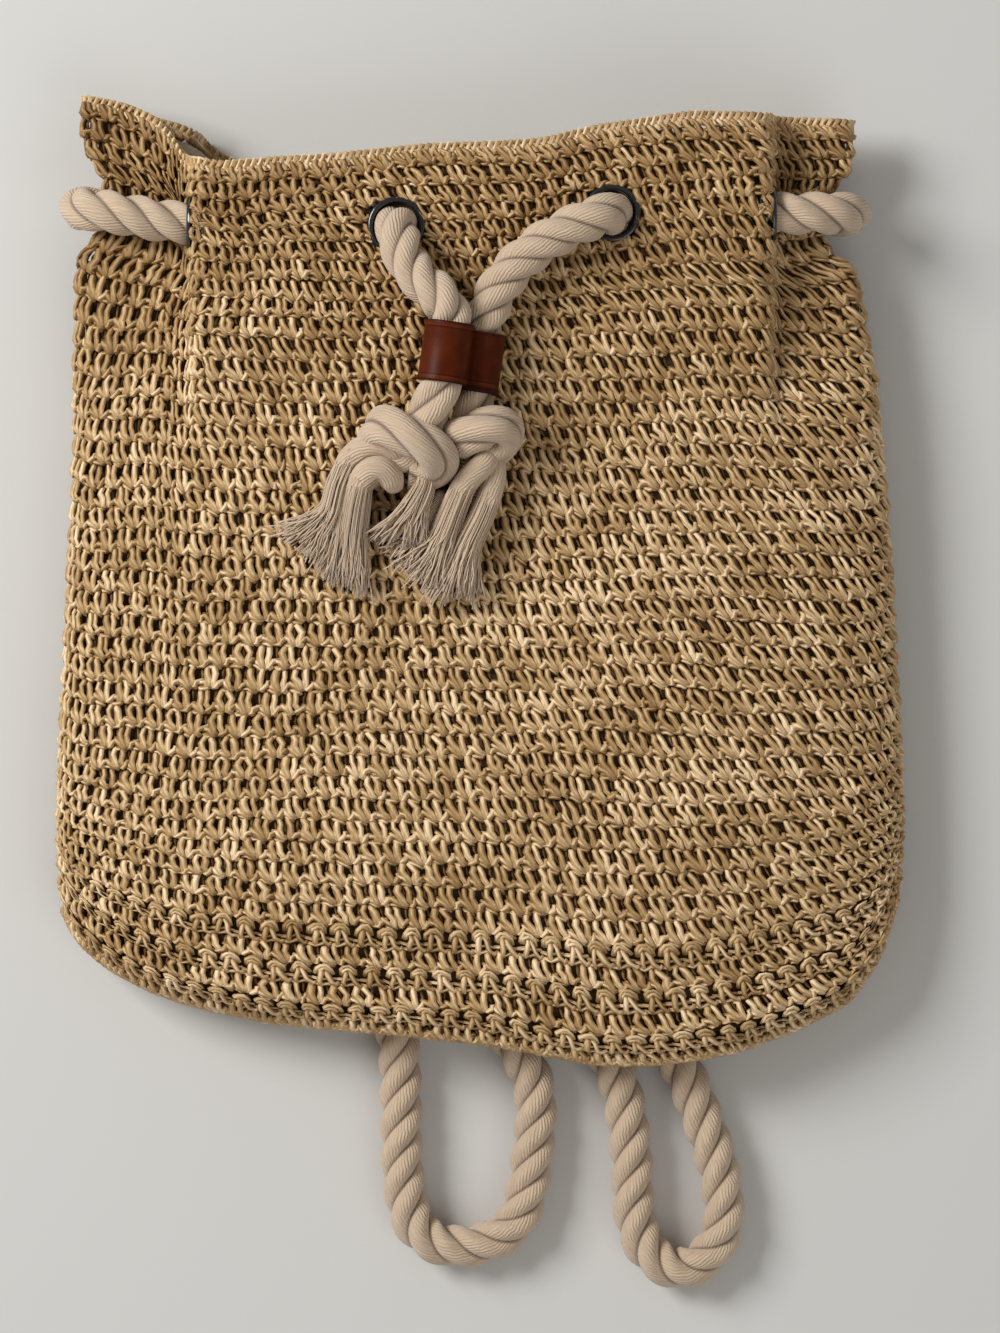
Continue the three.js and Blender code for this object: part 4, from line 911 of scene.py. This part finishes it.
# The lining: a sack of plain woven cotton, sewn in below the rim and closed by a seam along
# the base. It shows grey-beige inside the mouth; its outer side, seen through the holes of the crochet,
# is painted dark as shade.
LINING_INSET = 3.3 * MM
LINING = (0.42, 0.345, 0.27)
LINING_PAINTED_SHADE = (0.04, 0.015, 0.002)
CLOTH_THICKNESS = 1 * MM
LINING_ROWS = 71
lining_grid, lining_normals = bag_surface(LINING_INSET, LINING_ROWS, 2 * STITCHES_AROUND)
lining_levels = [*range(1, 16), *range(16, LINING_ROWS - 2, 2)]
lining_rows = lining_grid[lining_levels]
half_wall = lining_normals[lining_levels] * CLOTH_THICKNESS / 2
around = lining_rows.shape[1]
seam = (lining_grid[-1:] + lining_grid[-1:, -np.arange(around) % around]) / 2
outer = np.concatenate([lining_rows + half_wall, seam])
inner = np.concatenate([lining_rows - half_wall, seam + [0, CLOTH_THICKNESS, 0]])
layers = np.concatenate([outer, inner[::-1], outer[:1]])
quads, _ = tube_faces(len(layers), around)
count = len(outer) * around
quads = quads % (2 * count)
# the outer layer, towards the straw, is painted dark as shade; the inner layer keeps the cloth's colour
tone = np.concatenate([np.zeros(count), np.ones(count)])
lining_cloth = mesh_piece("lining_cloth", layers[:-1].reshape(-1, 3), quads, tones=tone)
lining_cloth.data.flip_normals()
lining, shader, node, links = new_material("cotton lining", LINING, 0.95)
shader.inputs["Specular IOR Level"].default_value = 0.1
place = node("TexCoord")
threads = node("TexNoise", {"Vector": place.outputs["Object"], "Scale": 900, "Detail": 2})
bump = node("Bump", {"Height": threads.outputs["Fac"], "Distance": 0.2 * MM, "Strength": 0.5})
links.new(bump.outputs["Normal"], shader.inputs["Normal"])
# tone 0 is the painted shade of the outer side, 1 the cloth's own colour
side = node("Attribute", attribute_name="tone")
patches = node("TexNoise", {"Vector": place.outputs["Object"], "Scale": 30, "Detail": 3})
spots = node("Math", {0: patches.outputs["Fac"], 1: 0.15}, operation="MULTIPLY")
level = node("Math", {0: side.outputs["Fac"], 1: spots.outputs[0]}, operation="ADD")
lining_ramp = colour_ramp(node, level.outputs[0], [(0.0, LINING_PAINTED_SHADE), (1.0, LINING)])
links.new(lining_ramp, shader.inputs["Base Color"])
lining_cloth.data.materials.append(lining)
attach(lining_cloth, "root")
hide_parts("bag_lining")

# The laced stretch of the drawcord: the same rope, drawn through the eyelets round the
# mouth. It goes round the two side folds, where it shows.
DRAWCORD = [
    [-33.2, 140.4, 47.7], [-33.2, 140.4, 45], [-36.1, 140.5, 37.9], [-43.2, 140.7, 35],
    [-72, 141.2, 35.2], [-98, 141.5, 36.1], [-113, 141.8, 38.2], [-130, 143.5, 39.1],
    [-146.5, 146.5, 39.3], [-156.6, 148, 35.1], [-160.8, 149, 25.1], [-156.6, 150, 15.1],
    [-146.5, 150.5, 10.9], [-130, 150.6, 11], [-113, 150.5, 12.4], [-98, 150, 13.6],
    [-60, 149, 13.7], [-36, 148.5, 13.4], [-20, 148.5, 12.4], [-8, 148.5, 10.4],
    [9, 148.4, 9.5], [26, 148.2, 10.4], [38, 148, 12.4], [54, 148, 13.4],
    [84, 148, 13.7], [100, 148, 13.5], [114.3, 148, 12.4], [125, 147.8, 11.2],
    [134.6, 147.5, 10.9], [144.6, 147, 15.1], [148.7, 146.6, 25.1], [144.6, 146.2, 35.1],
    [134.6, 146, 39.3], [127, 146, 39.2], [114.3, 146, 38.2], [98, 145.8, 36.1],
    [80, 145.4, 35.2], [62.4, 145.3, 35], [55.3, 145.2, 37.9], [52.4, 145.2, 45],
    [52.4, 145.2, 47.7],
]
laced = laid_rope("laced_drawcord", route_line(DRAWCORD, ROPE_STEP), 0.9)
laced.data.materials.append(cotton)
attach(laced, "root")
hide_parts("drawcord")

# The drawcord's two free ends: the same rope comes up through its eyelet, through the
# leather and into a knot. It is one length from the eyelet to the end of the knot's turn.
LEFT_END = [
    [-33.2, 140.4, 48], [-33.2, 140.4, 50.5], [-32.6, 137.5, 57.6], [-31.2, 130.6, 61],
    [-26, 120.5, 64], [-17, 112.5, 69.5], [-11.2, 104.2, 71.1], [-13.3, 88.9, 71.1],
    [-15.2, 76, 71.1], [-19, 67, 68], [-25, 57, 61], [-30, 48, 57.5],
    [-39, 51.5, 58.5], [-40.5, 58.5, 64], [-35.5, 60.5, 70.5], [-27, 56, 74],
    [-19, 50.5, 72], [-16, 46.5, 64.5], [-20, 43, 57], [-28, 43.5, 57],
]
RIGHT_END = [
    [52.4, 145.2, 48], [52.4, 145.2, 50.5], [49.7, 144.2, 57.6], [43, 141.8, 60.6],
    [32, 137, 60.6], [18, 127.5, 60], [7, 114.5, 59.6], [1.1, 100, 58.7], [-0.7, 87.1, 58.7],
    [-2.5, 74.2, 58.7], [-3.5, 65, 57.5], [-4, 55, 56],
    [-8, 56, 61], [-4, 58, 66.5], [2.5, 59.5, 68.5], [8.5, 60, 65.5],
    [11, 57.5, 60], [8, 53, 56], [1, 50, 55.5],
]
SLIDER_CENTRE = np.array([-7, 88, 64.9]) * MM
SLIDER_LENGTH = 24 * MM
LEATHER_BORE = 7.9 * MM
ROPE_PRESSED = 0.13
KNOT_STRAIGHTER = 0.9
KNOT_FROM = 12 * MM


def held_width(line):
    """The rope is pressed thinner inside the leather."""
    near = np.linalg.norm(line - SLIDER_CENTRE, axis=1) / (SLIDER_LENGTH * 0.75)
    return 1 - ROPE_PRESSED * np.clip(2 - 2 * near, 0, 1)


def knot_lay(line):
    """The strands lie straighter in the knot than in the free rope."""
    far = way_along(line)
    held = far[np.argmin(np.linalg.norm(line - SLIDER_CENTRE, axis=1))]
    return LAY_LENGTH * (1 + KNOT_STRAIGHTER * np.clip((far - held - KNOT_FROM) / KNOT_FROM, 0, 1))


# Below each knot the rope's three strands hang apart and fray into their yarns. Strand:
# thickness, its route, the two corners of the frayed end, and how many yarns it shows.
FRAYED = {
    "left": [
        ("a", 10.5, [
            (-30, 47, 60), (-36, 52.5, 64), (-43, 53, 65), (-50, 49, 63), (-54, 41, 59.5),
            (-56.5, 31, 56)], [(-80, 19.5, 48.5), (-57, -0.5, 48.5)], 190),
        ("b", 10.5, [
            (-33.5, 36, 60), (-36, 42, 65), (-41, 44.5, 67), (-46, 41, 65.5), (-48, 33, 61),
            (-49.5, 24, 56)], [(-61, 2.5, 48.5), (-45, -5.5, 48.5)], 180),
        ("c", 9, [
            (-22, 42, 58), (-20.5, 38, 60.5), (-23, 33.5, 61)], [(-44, 16.5, 51), (-22, 12.5, 51)], 150),
    ],
    "right": [
        ("f", 7, [
            (-14, 34, 54), (-20, 26, 54), (-24, 19, 53)], [(-37, 12, 48.5), (-21, -2, 48.5)], 80),
        ("d", 10, [
            (2, 51, 57), (3.5, 46.5, 61.5), (-1, 43, 63), (-6, 38, 62), (-9, 31, 59.5),
            (-12.5, 22, 56.5)], [(-33, 6, 49), (-16, -6, 49)], 160),
        ("e", 10, [
            (4, 51, 55.5), (6, 43, 57.5), (4.5, 35, 58), (1.5, 27, 56.5), (-2.5, 19, 54.5)],
         [(-20, -7, 48.5), (-0.5, -6, 48.5)], 180),
    ],
}
STRAND_STEP = 1.5 * MM
STRAND_SIDES = 16
STRAND_TWIST = 60
STRAND_SHARES = [0, 0.12, 0.6, 1]
STRAND_WIDTHS = [0.7, 1, 0.96, 0.3]
YARN_WIDTH = 0.62 * MM
YARN_RINGS = 10
YARN_SIDES = 3
YARN_FREE_FROM = 0.3
FRINGE_LIFT = 7 * MM
FRINGE_FLOOR = 48 * MM


def strand_tube(line, thickness):
    """A round bundle of yarns along a line, closed at both ends."""
    far = way_along(line)
    radii = thickness / 2 * np.interp(np.linspace(0, 1, len(line)), STRAND_SHARES, STRAND_WIDTHS)
    angle = np.arange(STRAND_SIDES) * 2 * math.pi / STRAND_SIDES + (far * STRAND_TWIST)[:, None]
    points = tube_points(line, angle, radii[:, None])
    quads, caps = tube_faces(len(line), STRAND_SIDES)
    across = np.arange(STRAND_SIDES + 1) / STRAND_SIDES * 0.6
    return points.reshape(-1, 3), quads, corner_uvs(across, far[:, None] / PATTERN_LENGTH), caps


def between(points, at):
    """Points of a line, read between its own."""
    numbers = np.arange(len(points))
    return np.stack([np.interp(at, numbers, points[:, axis]) for axis in range(3)], axis=1)


def ripple(share, heights, slowest, fastest):
    """A small wave along a yarn."""
    height = rng.uniform(*heights) * MM
    return height * np.sin(share * rng.uniform(slowest, fastest) + rng.uniform(0, 6.3))


def loose_yarn(line, thickness, corners):
    """The way of one yarn: along the strand's skin, then free to its place in the fringe."""
    tangents, normals, binormals = line_frames(line)
    first, second = (np.array(corner) * MM for corner in corners)
    flat_side = (second - first) / np.linalg.norm(second - first)
    angle = rng.uniform(0, 2 * math.pi)
    reach = thickness / 2 * math.sqrt(rng.uniform(0.45, 1.0)) * 1.02
    skin = (normals * math.cos(angle) + binormals * math.sin(angle)) * reach
    spread = np.dot(skin[-1], flat_side) / thickness
    rise = skin[-1, 2] / thickness
    tip = first + (second - first) * np.clip(0.5 + 1.05 * spread + rng.normal(0, 0.13), -0.1, 1.1)
    tip = tip + (tip - line[-1]) * rng.normal(-0.03, 0.1)
    tip[2] += max(0, rise + 0.4) * FRINGE_LIFT + abs(rng.normal(0, 0.5)) * MM
    neck = (len(line) - 1) * rng.uniform(0.2, 0.6)
    share = np.linspace(0, 1, YARN_RINGS)
    early = np.clip(share / YARN_FREE_FROM, 0, 1)
    late = np.clip((share - YARN_FREE_FROM) / (1 - YARN_FREE_FROM), 0, 1)
    at = neck + (len(line) - 1 - neck) * early
    on_skin = between(line, at) + between(skin, at) * (0.88 + 0.24 * early)[:, None]
    leaving = line[-1] + skin[-1] * 1.12
    pulled = leaving + tangents[-1] * np.linalg.norm(tip - leaving) * 0.35
    t = late[:, None]
    free = leaving * (1 - t) ** 2 + 2 * pulled * t * (1 - t) + tip * t ** 2
    curve = np.where(t > 0, free, on_skin)
    wave = ripple(late, (0.5, 1.2), 3, 9) * late
    crimp = ripple(late, (0.15, 0.4), 14, 26) * late
    curve = curve + flat_side * (wave + crimp)[:, None]
    curve[:, 2] = np.maximum(curve[:, 2] + 0.5 * wave, FRINGE_FLOOR)
    return curve


def frayed_strand(name, thickness, route, corners, count):
    """One strand of the rope and the loose yarns it ends in, as one piece."""
    line = route_line(route, STRAND_STEP)
    points, quads, uvs, caps = strand_tube(line, thickness * MM)
    all_points, all_quads, all_uvs, all_caps = [points], [quads], [uvs], list(caps)
    start = len(points)
    tube_quads, tube_caps = tube_faces(YARN_RINGS, YARN_SIDES)
    ring = np.arange(YARN_SIDES) * 2 * math.pi / YARN_SIDES
    for _ in range(count):
        curve = loose_yarn(line, thickness * MM, corners)
        tube = tube_points(curve, ring[None, :], YARN_WIDTH / 2 * rng.uniform(0.8, 1.2))
        all_points.append(tube.reshape(-1, 3))
        all_quads.append(tube_quads + start)
        all_caps += [cap + start for cap in tube_caps]
        all_uvs.append(np.full((len(tube_quads) * 4, 2), rng.uniform(0, 40)))
        start += YARN_RINGS * YARN_SIDES
    tones = [np.ones(len(points))]
    tones += [np.full(YARN_RINGS * YARN_SIDES, rng.uniform(0.765, 1.1)) for _ in range(count)]
    return mesh_piece(
        name, np.concatenate(all_points), np.concatenate(all_quads), np.concatenate(all_uvs),
        all_caps, np.concatenate(tones))


# The leather slider: two sleeves of reddish brown leather in one piece, 1.8 mm thick,
# pressed over both free ends. The left sleeve rides up on the right one.
SLIDER_TURN = math.radians(8)
SLIDER_TILT = math.radians(44)
LEATHER_WALL = 1.8 * MM
LEATHER_ROUND = 0.6 * MM
slider_along = Vector((-math.sin(SLIDER_TURN), -math.cos(SLIDER_TURN), 0))
slider_across = Vector((
    math.cos(SLIDER_TURN) * math.cos(SLIDER_TILT), -math.sin(SLIDER_TURN) * math.cos(SLIDER_TILT),
    -math.sin(SLIDER_TILT)))


def spun_ring(name, profile, steps):
    """A ring round Z from a closed profile of radius and height pairs."""
    ring = bmesh.new()
    corners = [ring.verts.new((radius, 0, height)) for radius, height in profile]
    edges = [ring.edges.new((a, b)) for a, b in zip(corners, corners[1:] + corners[:1])]
    bmesh.ops.spin(
        ring, geom=corners + edges, cent=(0, 0, 0), axis=(0, 0, 1), dvec=(0, 0, 0),
        angle=2 * math.pi, steps=steps, use_merge=True)
    bmesh.ops.remove_doubles(ring, verts=ring.verts, dist=0.001 * MM)
    bmesh.ops.recalc_face_normals(ring, faces=ring.faces)
    for face in ring.faces:
        face.smooth = True
    mesh = bpy.data.meshes.new(name)
    ring.to_mesh(mesh)
    ring.free()
    piece = bpy.data.objects.new(name, mesh)
    bpy.context.scene.collection.objects.link(piece)
    return piece


def rounded_profile(inner, outer, half_height, radius, segments=4):
    """A rectangle of wall with rounded corners, as radius and height pairs."""
    profile = []
    for centre_r, centre_z, start in (
        (outer - radius, half_height - radius, 0), (inner + radius, half_height - radius, 90),
        (inner + radius, radius - half_height, 180), (outer - radius, radius - half_height, 270),
    ):
        for step in range(segments + 1):
            angle = math.radians(start + 90 * step / segments)
            profile.append((centre_r + radius * math.cos(angle), centre_z + radius * math.sin(angle)))
    return profile


LEATHER_RIM = 0.45 * MM
RIM_ENDS = 10.6 * MM
WALL_STARTS = 9.4 * MM
SLEEVE_SLIP = 1.6 * MM
SLEEVE_FACETS = 56
sleeve_outer = LEATHER_BORE + LEATHER_WALL
rim_outer = sleeve_outer + LEATHER_RIM
sleeve_profile = rounded_profile(LEATHER_BORE, rim_outer, SLIDER_LENGTH / 2, LEATHER_ROUND)
sleeve_profile.append((rim_outer, -RIM_ENDS))
sleeve_profile.append((sleeve_outer, -WALL_STARTS))
sleeve_profile.append((sleeve_outer, WALL_STARTS))
sleeve_profile.append((rim_outer, RIM_ENDS))
apart = LEATHER_BORE + LEATHER_WALL / 2
basis = Matrix((slider_across, slider_along.cross(slider_across), slider_along)).transposed().to_4x4()
sleeves = []
for name, side, shift in (("leather_sleeves", -1, 0.0), ("second_sleeve", 1, SLEEVE_SLIP)):
    sleeve = spun_ring(name, sleeve_profile, SLEEVE_FACETS)
    spot = Vector(SLIDER_CENTRE) + slider_across * side * apart + slider_along * shift
    sleeve.data.transform(Matrix.Translation(spot) @ basis)
    sleeves.append(sleeve)
join = sleeves[0].modifiers.new("join", "BOOLEAN")
join.operation = "UNION"
join.solver = "EXACT"
join.object = sleeves[1]
bpy.context.view_layer.objects.active = sleeves[0]
sleeves[0].select_set(True)
bpy.ops.object.modifier_apply(modifier="join")
bpy.data.objects.remove(sleeves[1])
slider = sleeves[0]
for polygon in slider.data.polygons:
    polygon.use_smooth = True
LEATHER = (0.08, 0.012, 0.002)
# painted shade in the crease where the rim begins, and the dark of the sleeve's ends
LEATHER_CREASE_SHADE_AND_END = (0.03, 0.006, 0.003)
# the rim's lighter colour: partly burnished wear, partly painted highlight
LEATHER_RIM_HIGHLIGHT_AND_WEAR = (0.11, 0.021, 0.005)
leather, shader, node, links = new_material("reddish brown leather", LEATHER, 0.4)
shader.inputs["Specular IOR Level"].default_value = 0.08
place = node("TexCoord").outputs["Object"]
offset = node("VectorMath", {0: place, 1: tuple(SLIDER_CENTRE)}, operation="SUBTRACT")
down = node("VectorMath", {0: offset.outputs["Vector"], 1: tuple(slider_along)}, operation="DOT_PRODUCT")
depth = node("Math", {0: down.outputs["Value"]}, operation="ABSOLUTE")
worn = node("TexNoise", {"Vector": place, "Scale": 160, "Detail": 4})
share = node("Math", {0: depth.outputs[0], 1: SLIDER_LENGTH / 2}, operation="DIVIDE")
# along each sleeve: a dark line of painted shade in the crease where the raised rim begins, the rim
# lighter, partly burnished wear and partly painted highlight, and dark again at the sleeve's ends
mixed = colour_ramp(node, share.outputs[0], [
    (0.74, LEATHER), (0.785, LEATHER_CREASE_SHADE_AND_END), (0.83, LEATHER_RIM_HIGHLIGHT_AND_WEAR), (0.92, LEATHER),
    (0.97, LEATHER_CREASE_SHADE_AND_END)])
cloudy = colour_ramp(node, worn.outputs["Fac"], [(0.3, (0.72, 0.7, 0.68)), (0.7, (1.15, 1.15, 1.15))])
toned = node("Mix", data_type="RGBA", blend_type="MULTIPLY")
toned.inputs[0].default_value = 1
links.new(mixed, toned.inputs[6])
links.new(cloudy, toned.inputs[7])
links.new(toned.outputs[2], shader.inputs["Base Color"])
grain = node("TexVoronoi", {"Vector": place, "Scale": 1400})
bump = node("Bump", {"Height": grain.outputs["Distance"], "Distance": 0.1 * MM, "Strength": 0.35})
links.new(bump.outputs["Normal"], shader.inputs["Normal"])
slider.data.materials.append(leather)
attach(slider, "root")
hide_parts("leather_slider")

# Both free ends, each with the frayed strands below its knot. The leather rides up on the
# left one.
for side, route, phase, length in (("left", LEFT_END, 2.0, 0.181), ("right", RIGHT_END, 0.2, 0.161)):
    line = route_line(route, ROPE_STEP)
    end = laid_rope(f"drawcord_end_{side}", line, phase, held_width(line), lay=knot_lay(line))
    end.data.materials.append(cotton)
    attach(end, "root")
    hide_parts(f"drawcord_{side}_end")
    for letter, *shape in FRAYED[side]:
        strand = frayed_strand(f"frayed_strand_{letter}", *shape)
        strand.data.materials.append(cotton)
        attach(strand, "root")
        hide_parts(f"drawcord_{side}_end")

# The eyelets: rolled rings of metal with glossy black enamel, pressed through the straw
# and the lining, with a round flange on each side.
RING_BORE = 9.1 * MM
RING_OUTER = 11.6 * MM
RING_HALF = 3.75 * MM
FLANGE_HEIGHT = 1.425 * MM
WALL_HALF = 2.3 * MM
BARREL = RING_BORE + 0.9 * MM
FLANGE_STEPS = 6
RING_FACETS = 32
enamel, shader, node, links = new_material("black enamel", (0.006, 0.008, 0.011), 0.16)
shader.inputs["Coat Weight"].default_value = 0.6
shader.inputs["Coat Roughness"].default_value = 0.06
place = node("TexCoord").outputs["Object"]
rub = node("TexNoise", {"Vector": place, "Scale": 420, "Detail": 3})
polish = node("MapRange", {"Value": rub.outputs["Fac"], "To Min": 0.1, "To Max": 0.26})
links.new(polish.outputs["Result"], shader.inputs["Roughness"])
middle, half = (RING_OUTER + RING_BORE) / 2, (RING_OUTER - RING_BORE) / 2
flange = []
for step in range(FLANGE_STEPS + 1):
    angle = math.pi * step / FLANGE_STEPS
    flange.append((middle + half * math.cos(angle), RING_HALF - FLANGE_HEIGHT * (1 - math.sin(angle))))
profile = flange + [(radius, -height) for radius, height in reversed(flange)]
profile.append((RING_OUTER, -WALL_HALF))
profile.append((BARREL, -WALL_HALF))
profile.append((BARREL, WALL_HALF))
profile.append((RING_OUTER, WALL_HALF))
for node_name, (centre, axis) in ring_centres.items():
    ring = spun_ring(node_name.replace("eyelet", "ring"), profile, RING_FACETS)
    direction = Vector([1.0 if k == axis else 0.0 for k in range(3)])
    turn = Vector((0, 0, 1)).rotation_difference(direction).to_matrix().to_4x4()
    ring.data.transform(Matrix.Translation(Vector(centre)) @ turn)
    ring.data.materials.append(enamel)
    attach(ring, "root")
    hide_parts(node_name)

# Floor and light: a pale plain surface under a large soft window above the bag's left
# shoulder, with a weaker one opposite. The colours are shown as they are, without a film curve.
FLOOR_SIZE = 6
bpy.ops.mesh.primitive_plane_add(size=FLOOR_SIZE, location=(0, 0, 0))
floor = bpy.context.object
floor.name = "floor"
floor_finish, shader, node, links = new_material("pale floor", (0.62, 0.61, 0.585), 0.9)
floor.data.materials.append(floor_finish)
for name, spot, size, power in (
    ("window", (-1.45, 0.75, 1.35), 0.9, 42),
    ("fill", (1.1, -1.6, 1.8), 2.0, 15),
):
    light_data = bpy.data.lights.new(name, "AREA")
    light_data.size = size
    light_data.energy = power
    light = bpy.data.objects.new(name, light_data)
    light.location = spot
    aim = Vector((0, 0, 0)) - light.location
    light.rotation_euler = aim.to_track_quat("-Z", "Y").to_euler()
    bpy.context.scene.collection.objects.link(light)
bpy.context.scene.view_settings.view_transform = "Standard"
world = bpy.data.worlds.new("soft sky")
world.use_nodes = True
world.node_tree.nodes["Background"].inputs["Color"].default_value = (1, 0.98, 0.95, 1)
world.node_tree.nodes["Background"].inputs["Strength"].default_value = 0.3
bpy.context.scene.world = world
